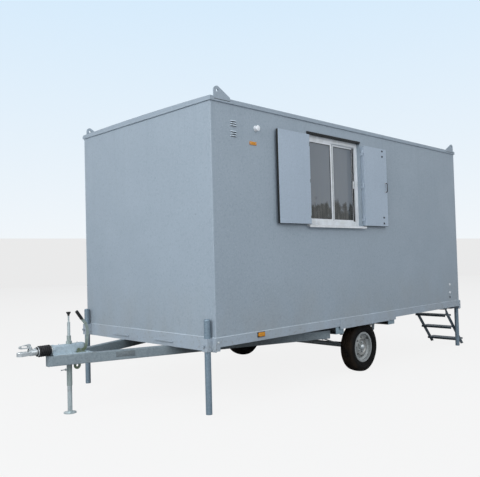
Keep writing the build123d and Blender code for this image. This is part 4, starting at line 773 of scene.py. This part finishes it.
def shutter_fittings():
    """Bolts and rosettes on the right shutter, black strips on both shutters' outer and lower edges as
    painted shade for the gap behind them, and the hinges' covers and leaves.
    """
    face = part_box("shutter_right")[0][1]
    bolts = Piece()
    bolt_line = 0.895
    for z in (2.730, 2.662, 1.888, 1.815):
        bolts.turned((bolt_line, face, z), (0, -1, 0), [(0, 0), (0, 0.013), (0.002, 0.013), (0.002, 0)])
        bolts.bolt((bolt_line, face - 0.002, z), (0, -1, 0), 0.009, 0.007)
    bolts.hang("shutter_bolts", "right_shutter", "black_plastic", black_trim)
    # Painted shade: black strips on the shutters' outer and lower edges stand in for the shadowed gap between
    # each shutter and the wall.
    for name, outer in (("left", -1), ("right", 1)):
        trim_piece = Piece()
        near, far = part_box(f"shutter_{name}")
        xs = outward(near[0] if outer < 0 else far[0], outer, 0, 0.0020)
        front, back = near[1] + 0.002, far[1] - 0.001
        trim_piece.plate((xs[0], front, near[2] - 0.002), (xs[1], back, far[2] - 0.001), 0.0006)
        trim_piece.plate((near[0] + 0.001, front, near[2] - 0.0025), (far[0] - 0.001, back, near[2]), 0.0008)
        trim_piece.hang(f"shutter_edge_shade_{name}", f"{name}_shutter", "gaiter_rubber", black_trim)
    covers = Piece()
    for near, far in ((-0.5765, -0.5735), (0.4935, 0.4965)):
        covers.plate((near, -1.1738, 1.7850), (far, -WALL_FACE, 2.7550), 0.0006)
    covers.hang("hinge_cover_angles", "cabin", "painted_steel", shutter_enamel)
    low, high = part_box("shutter_pull")
    roses = Piece()
    for z in (low[2] + 0.005, high[2] - 0.005):
        roses.turned(((low[0] + high[0]) / 2, face, z), (0, -1, 0),
                     [(0, 0), (0, 0.013), (0.0015, 0.013), (0.003, 0.010), (0.003, 0)])
    roses.hang("pull_roses", "right_shutter", "zinc_plate", zinc_plate)
    leaves = Piece()
    leaf_face = -1.1500
    for x, out in ((-0.5705, -1), (0.4905, 1)):
        for z in (1.870, 2.270, 2.670):
            near, far = outward(x, out, 0.002, 0.036)
            leaves.plate((near, leaf_face, z - 0.034), (far, -WALL_FACE, z + 0.034))
            for rise in (-0.02, 0.02):
                leaves.screw((x + out * 0.024, leaf_face, z + rise), (0, -1, 0), 0.005, 0.002)
    leaves.hang("hinge_leaves", "cabin", "painted_steel", shutter_enamel)


def wall_fittings():
    """Sealant round the vent's stem, the lenses' screws, the lamps' backs, two wall buttons and a plug."""
    low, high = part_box("pipe_outlet")
    trim_piece = Piece()
    ring = [(0, 0.0235), (0, 0.030), (0.0015, 0.029), (0.003, 0.0255), (0.003, 0.0235), (0, 0.0235)]
    trim_piece.turned(((low[0] + high[0]) / 2, high[1], (low[2] + high[2]) / 2), (0, -1, 0), ring, 32)
    trim_piece.hang("pipe_sealant", "cabin", "white_aluminium", window_white)
    screws = Piece()
    low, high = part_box("side_reflector")
    for x in (low[0] + 0.010, high[0] - 0.010):
        screws.screw((x, low[1], (low[2] + high[2]) / 2), (0, -1, 0), 0.004, 0.0025)
    lamp_low, lamp_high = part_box("side_lamp")
    back_face = 1.1590
    for side in SIDES:
        for x in (lamp_low[0] - 0.006, lamp_high[0] + 0.006):
            screws.screw((x, side * back_face, 0.670), (0, side, 0), 0.0036, 0.002)
    screws.hang("lens_screws", "cabin", "zinc_plate", zinc_plate)
    backs = Piece()
    for side in SIDES:
        ys = outward(0, side, 1.1552, back_face)
        backs.plate((lamp_low[0] - 0.011, ys[0], 0.643), (lamp_high[0] + 0.011, ys[1], 0.694), 0.0015)
    backs.hang("lamp_backs", "cabin", "black_plastic", black_trim)
    buttons = Piece()
    dome = [(0, 0), (0, 0.019), (0.003, 0.019), (0.006, 0.014), (0.0085, 0.006), (0.009, 0)]
    for z in (0.947, 0.830):
        buttons.turned((2.725, -WALL_FACE, z), (0, -1, 0), dome)
    buttons.hang("wall_buttons", "cabin", "white_aluminium", window_white)
    plug = Piece()
    plug.turned((2.720, -WALL_FACE, 0.762), (0, -1, 0),
                [(0, 0), (0, 0.014), (0.003, 0.013), (0.004, 0.009), (0.002, 0.007), (0.002, 0)])
    plug.hang("wall_plug", "cabin", "gaiter_rubber", black_trim)


def louvre_mouth_shade():
    """Black plates in the mouths under the louvres' hoods: painted shade for the dark openings."""
    slits = Piece()
    low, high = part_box("louvre_vents")
    wall = high[1]
    for z in (2.753, 2.7315, 2.710, 2.651, 2.6295, 2.608):
        slits.plate((low[0] + 0.003, wall - 0.0030, z - 0.0045), (high[0] - 0.003, wall, z + 0.0005), 0.0008)
        slits.plate((low[0] + 0.006, wall - 0.0070, z + 0.0004),
                    (high[0] - 0.006, wall - 0.0010, z + 0.0016), 0.0004)
    slits.hang("louvre_mouth_shade", "cabin", "gaiter_rubber", black_trim)


def ledge_highlight_bead():
    """A pale bead between the walls and the ledge of the base rails. It is part sealant and part painted
    highlight for the ledge's lit top.
    """
    bead = Piece()
    gap, reach, top, ease = 0.0002, 0.0070, 0.7030, 0.0022
    for side in SIDES:
        ys = outward(side * WALL_FACE, side, gap, reach)
        bead.plate((-1.9695, ys[0], LEDGE), (3.0095, ys[1], top), ease)
    for x, out in zip(WALL_ENDS, SIDES):
        xs = outward(x, out, gap, reach)
        bead.plate((xs[0], -1.1460, LEDGE), (xs[1], 1.1460, top), ease)
    bead.hang("ledge_highlight_bead", "cabin", "painted_steel", highlight_enamel)


def eye_slot_shade():
    """Dark strips in the slots under the lifting eyes' plates: painted shade for the slots' shadow."""
    strips = Piece()
    for start in EYE_STARTS:
        for side in SIDES:
            ys = outward(0, side, 1.1560, 1.1605)
            strips.plate((start, ys[0], 2.9335), (start + EYE_LENGTH, ys[1], 2.9385), 0.001)
    strips.hang("eye_slot_shade", "cabin", "gaiter_rubber", black_trim)


def roof_screws():
    """Domed screws down both edges of the cover strips on the roof."""
    screws = Piece()
    head = [(0, 0), (0, 0.008), (0.0015, 0.008), (0.003, 0.0055), (0.004, 0)]
    for strip in ROOF_STRIPS:
        for step in range(-4, 5):
            y = step * 0.25
            z = ROOF_TOP - y * y / ROOF_BEND - 0.0005
            for edge in (-0.012, 0.012):
                screws.turned((strip + edge, y, z), (0, 0, 1), head, 10)
    screws.hang("roof_screws", "cabin", "zinc_plate", zinc_plate)


def gaiter_folds():
    """The rubber bellows over the draw tube, turned in fixed folds in place of the plain gaiter; on the real
    trailer it closes up as the coupling is pushed home.
    """
    low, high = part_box("gaiter")
    long, centre = high[0] - low[0], (low[2] + high[2]) / 2
    cuff, bore, valley, depth, wall, ease = 0.012, 0.026, 0.043, 0.009, 0.003, 0.0008
    folds, steps = 6, 10
    pitch = (long - 2 * cuff) / folds
    crown = [(cuff + pitch * k / steps, valley + depth * abs(sin(pi * k / steps)) ** 0.8)
             for k in range(folds * steps + 1)]
    profile = [(0, bore), (0, valley - ease), (ease, valley), *crown, (long - ease, valley),
               (long, valley - ease), (long, bore), (long - cuff, bore),
               *[(along, radius - wall) for along, radius in reversed(crown)], (cuff, bore), (0, bore)]
    rubber = Piece()
    rubber.turned((low[0], 0, centre), (1, 0, 0), profile, 56)
    piece = rubber.close("gaiter_folds", "gaiter_rubber", gaiter_rubber)
    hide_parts("gaiter")
    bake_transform(piece)


def gaiter_band(name, body, x):
    """A hoop round one of the gaiter's cuffs, with the ear that closes it."""
    band = Piece()
    hoop = [(-0.004, 0.0428), (-0.004, 0.0444), (0.004, 0.0444), (0.004, 0.0428), (-0.004, 0.0428)]
    band.turned((x, 0, DRAW_HEIGHT), (1, 0, 0), hoop, 40)
    band.plate((x - 0.0045, 0.0435, 0.612), (x + 0.0045, 0.0515, 0.628), 0.001)
    band.hang(name, body, "zinc_plate", zinc_plate)


def drawbar_fittings():
    """The near beam's plate, the gaiter's bands, nipples, pin ends, bracket foot, nose bolt and welds."""
    turn = Matrix.Rotation(BEAM_ANGLE, 3, "Z")
    plate = Piece()
    plate_x = -2.378
    middle = Vector((plate_x, beam_face(plate_x), 0.528))
    out = Vector((sin(BEAM_ANGLE), -cos(BEAM_ANGLE), 0))
    seat = middle + out * 0.0015
    half = Vector((0.094, 0.0015, 0.026))
    plate.plate(seat - half, seat + half, 0.001, turn)
    along = Vector((cos(BEAM_ANGLE), sin(BEAM_ANGLE), 0))
    for run in (-0.084, 0.084):
        for rise in (-0.018, 0.018):
            plate.screw(middle + out * 0.003 + along * run + Vector((0, 0, rise)), out, 0.004, 0.0022)
    plate.hang("bare_beam_plate", "cabin", "galvanised_steel", plain_plate)
    low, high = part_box("gaiter")
    gaiter_band("rear_gaiter_band", "cabin", high[0] - 0.006)
    gaiter_band("front_gaiter_band", "coupling", low[0] + 0.006)
    nipples = Piece()
    nut = [(0, 0), (0, 0.0065), (0.005, 0.0065), (0.005, 0)]
    tip = [(0, 0), (0, 0.0038), (0.006, 0.0032), (0.008, 0.0038), (0.011, 0.0022), (0.0115, 0)]
    for x in (-2.935, -2.745):
        nipples.turned((x, 0, HOUSING_TOP - 0.001), (0, 0, 1), nut, 6)
        nipples.turned((x, 0, HOUSING_TOP + 0.004), (0, 0, 1), tip, 14)
    nipples.hang("grease_nipples", "cabin", "zinc_plate", zinc_plate)
    washers = Piece()
    for side in SIDES:
        washers.turned((COUPLING_PIN[0], side * 0.0174, COUPLING_PIN[1]), (0, side, 0),
                       [(0, 0), (0, 0.0085), (0.0016, 0.0085), (0.0016, 0.0045), (0.004, 0.0040), (0.005, 0)])
    washers.hang("coupling_pin_ends", "coupling", "zinc_plate", zinc_plate)
    foot = Piece()
    foot_top = 0.5812
    foot.plate((-2.802, -0.100, 0.5772), (-2.708, -0.0715, foot_top), 0.001)
    for x in (-2.786, -2.724):
        foot.bolt((x, -0.086, foot_top), (0, 0, 1), 0.008, 0.006)
    foot.hang("bracket_foot", "cabin", "zinc_plate", brake_chromate)
    nose = Piece()
    nose.bolt((-3.036, 0, 0.472), (0, 0, -1), 0.011, 0.008)
    nose.hang("nose_bolt", "cabin", "zinc_plate", zinc_plate)
    beads = Piece()
    rail_x, rail_foot, nose_x, length = -1.9935, 0.5672, -3.0195, 0.06
    for side in SIDES:
        y = beam_face(-1.992, side)
        beads.weld((rail_x, y, rail_foot), (rail_x, y - side * length, rail_foot))
        beads.weld((nose_x, side * 0.050, 0.478), (nose_x, side * 0.050, 0.561), 0.003)
        for x in (-2.98, -2.70):
            ends = [(along, beam_face(along, side) * 0.995, 0.5675) for along in (x, x + length)]
            beads.weld(*ends, 0.003)
    beads.hang("drawbar_welds", "cabin", "galvanised_steel", frame_zinc)


def prop_clamp():
    """The clamp screw that holds the prop stand, with its sliding bar, on the guide's far side."""
    screw = Piece()
    height = 0.400
    spindle = [(0, 0), (0, 0.014), (0.010, 0.013), (0.010, 0.007), (0.040, 0.007), (0.040, 0.010),
               (0.054, 0.010), (0.056, 0.007), (0.056, 0)]
    bar = [(0, 0), (0.001, 0.006), (0.006, 0.006), (0.008, 0.004), (0.092, 0.004), (0.094, 0.006),
           (0.099, 0.006), (0.100, 0)]
    screw.turned((-2.830, 0.0245, height), (0, 1, 0), spindle)
    screw.turned((-2.880, 0.0715, height), (1, 0, 0), bar, 14)
    screw.hang("prop_clamp_screw", "cabin", "zinc_plate", zinc_plate)


def corner_fittings():
    """Bolts through the sockets' side plates and the beads that hold the sockets on."""
    bolts, beads = Piece(), Piece()
    foot, head = SOCKET_HEIGHTS
    for end, wall in zip(SIDES, WALL_ENDS):
        for side in SIDES:
            bolts.bolt((wall - end * 0.018, side * 1.161, 0.655), (0, side, 0), 0.010, 0.007)
            plate, box, edge = wall + end * 0.0085, wall + end * 0.0145, wall - end * 0.040
            for x, y, radius in ((plate, 1.0415, 0.0035), (box, 1.0415, 0.003), (box, 1.1125, 0.003),
                                 (edge, 1.1555, 0.0035)):
                beads.weld((x, side * y, foot), (x, side * y, head), radius)
    bolts.hang("socket_bolts", "cabin", "zinc_plate", zinc_plate)
    beads.hang("socket_welds", "cabin", "painted_steel", rail_enamel)


def cross_member_caps():
    """Plates welded over the open ends of the two cross-members."""
    caps = Piece()
    foot, head, inset = 0.5265, 0.6085, 0.0015
    for name in ("cross_member_front", "cross_member_rear"):
        low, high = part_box(name)
        for side in SIDES:
            end = high[1] if side > 0 else low[1]
            ys = outward(end, side, -inset, inset)
            caps.plate((low[0] + inset, ys[0], foot), (high[0] - inset, ys[1], head), 0.001)
            seam = [(x, end + side * 0.001, 0.5262) for x in (low[0] + 0.004, high[0] - 0.004)]
            caps.weld(*seam, 0.0025)
    caps.hang("cross_member_caps", "cabin", "galvanised_steel", cap_zinc)


def running_gear_fittings():
    """Valves in the rims and clips round the two longest leaves of each spring."""
    axle_x, _, axle_z = WHEEL_CENTRE
    out, turned_by = 0.148, 0.9
    stem = [(0, 0), (0, 0.0075), (0.014, 0.0065), (0.016, 0.0042), (0.024, 0.0042), (0.024, 0.0052),
            (0.034, 0.0052), (0.036, 0.0035), (0.036, 0)]
    for side, name in zip(SIDES, ("window", "far")):
        valve = Piece()
        place = (axle_x + out * sin(turned_by), side * 1.040, axle_z + out * cos(turned_by))
        valve.turned(place, (0, side, 0), stem, 16)
        valve.hang(f"valve_{name}", f"wheel_{name}", "tyre_rubber", black_trim)
    clips = Piece()
    half = Vector((0.0125, 0.0255, 0.0110))
    for side in SIDES:
        for way in SIDES:
            turn = Matrix.Rotation(-way * 0.163, 3, "Y")
            middle = Vector((axle_x + way * 0.22, side * 0.847, 0.3610))
            clips.plate(middle - half, middle + half, 0.0012, turn)
            clips.screw(middle + Vector((0, side * half.y, 0)), (0, side, 0), 0.006, 0.004)
    clips.hang("spring_clips", "cabin", "galvanised_steel", frame_zinc)


def rear_fittings():
    """Door hinges, its lock, weather bar and rain hood, and the steps' bolts and hooks."""
    hinges = Piece()
    half, leaf_face = 0.045, 3.0190
    knuckles = [(0, 0), (0, 0.0060), (0.002, 0.0075), (0.029, 0.0075), (0.0295, 0.0066), (0.0305, 0.0066),
                (0.031, 0.0075), (0.059, 0.0075), (0.0595, 0.0066), (0.0605, 0.0066), (0.061, 0.0075),
                (0.088, 0.0075), (0.090, 0.0060), (0.090, 0)]
    for z in (0.98, 1.70, 2.42):
        hinges.turned((3.0195, -1.034, z - half), (0, 0, 1), knuckles)
        hinges.plate((3.0162, -1.060, z - half), (leaf_face, -1.036, z + half), 0.0008)
        for rise in (-0.03, 0.0, 0.03):
            hinges.screw((leaf_face, -1.051, z + rise), (1, 0, 0), 0.004, 0.0016)
    hinges.hang("door_hinges", "cabin", "zinc_plate", zinc_plate)
    lock = Piece()
    lock.turned((3.0078, -0.456, 1.735), (1, 0, 0),
                [(0, 0), (0, 0.0125), (0.003, 0.0120), (0.0045, 0.0095), (0.0045, 0)])
    lock.plate((3.0118, -0.4572, 1.7310), (3.0130, -0.4548, 1.7390), 0.0004)
    lock.hang("door_lock", "cabin", "zinc_plate", zinc_plate)
    bars = Piece()
    bars.plate((3.0020, -1.014, 0.790), (3.0150, -0.410, 0.812), 0.004)
    left, right, wall, lip = -1.110, -0.314, WALL_ENDS[1], 3.0500
    bars.plate((wall, left, 2.692), (lip, right, 2.695), 0.001)
    bars.plate((3.0475, left, 2.678), (lip, right, 2.693), 0.001)
    bars.plate((wall, left, 2.694), (3.0125, right, 2.722), 0.001)
    bars.hang("door_rain_bars", "cabin", "painted_steel", shutter_enamel)
    bolts = Piece()
    for x, z in ((3.270, 0.0745), (3.087, 0.2712), (2.904, 0.4678)):
        for shift in (-0.016, 0.016):
            for stringer, way in ((-1.037, -1), (-0.537, 1)):
                bolts.bolt((x + shift, stringer, z), (0, way, 0), 0.007, 0.005)
    bolts.hang("step_bolts", "cabin", "zinc_plate", zinc_plate)
    hooks = Piece()
    for low, high, face, way in ((-1.0310, -1.0260, -1.0260, 1), (-0.5480, -0.5430, -0.5480, -1)):
        hooks.plate((2.7905, low, 0.540), (2.8300, high, 0.6050), 0.0012)
        hooks.bolt((2.815, face, 0.572), (0, way, 0), 0.007, 0.005)
    hooks.hang("step_hooks", "cabin", "black_plastic", black_trim)


room()
window_fittings()
shutter_fittings()
wall_fittings()
louvre_mouth_shade()
ledge_highlight_bead()
eye_slot_shade()
roof_screws()
gaiter_folds()
drawbar_fittings()
prop_clamp()
corner_fittings()
cross_member_caps()
running_gear_fittings()
rear_fittings()
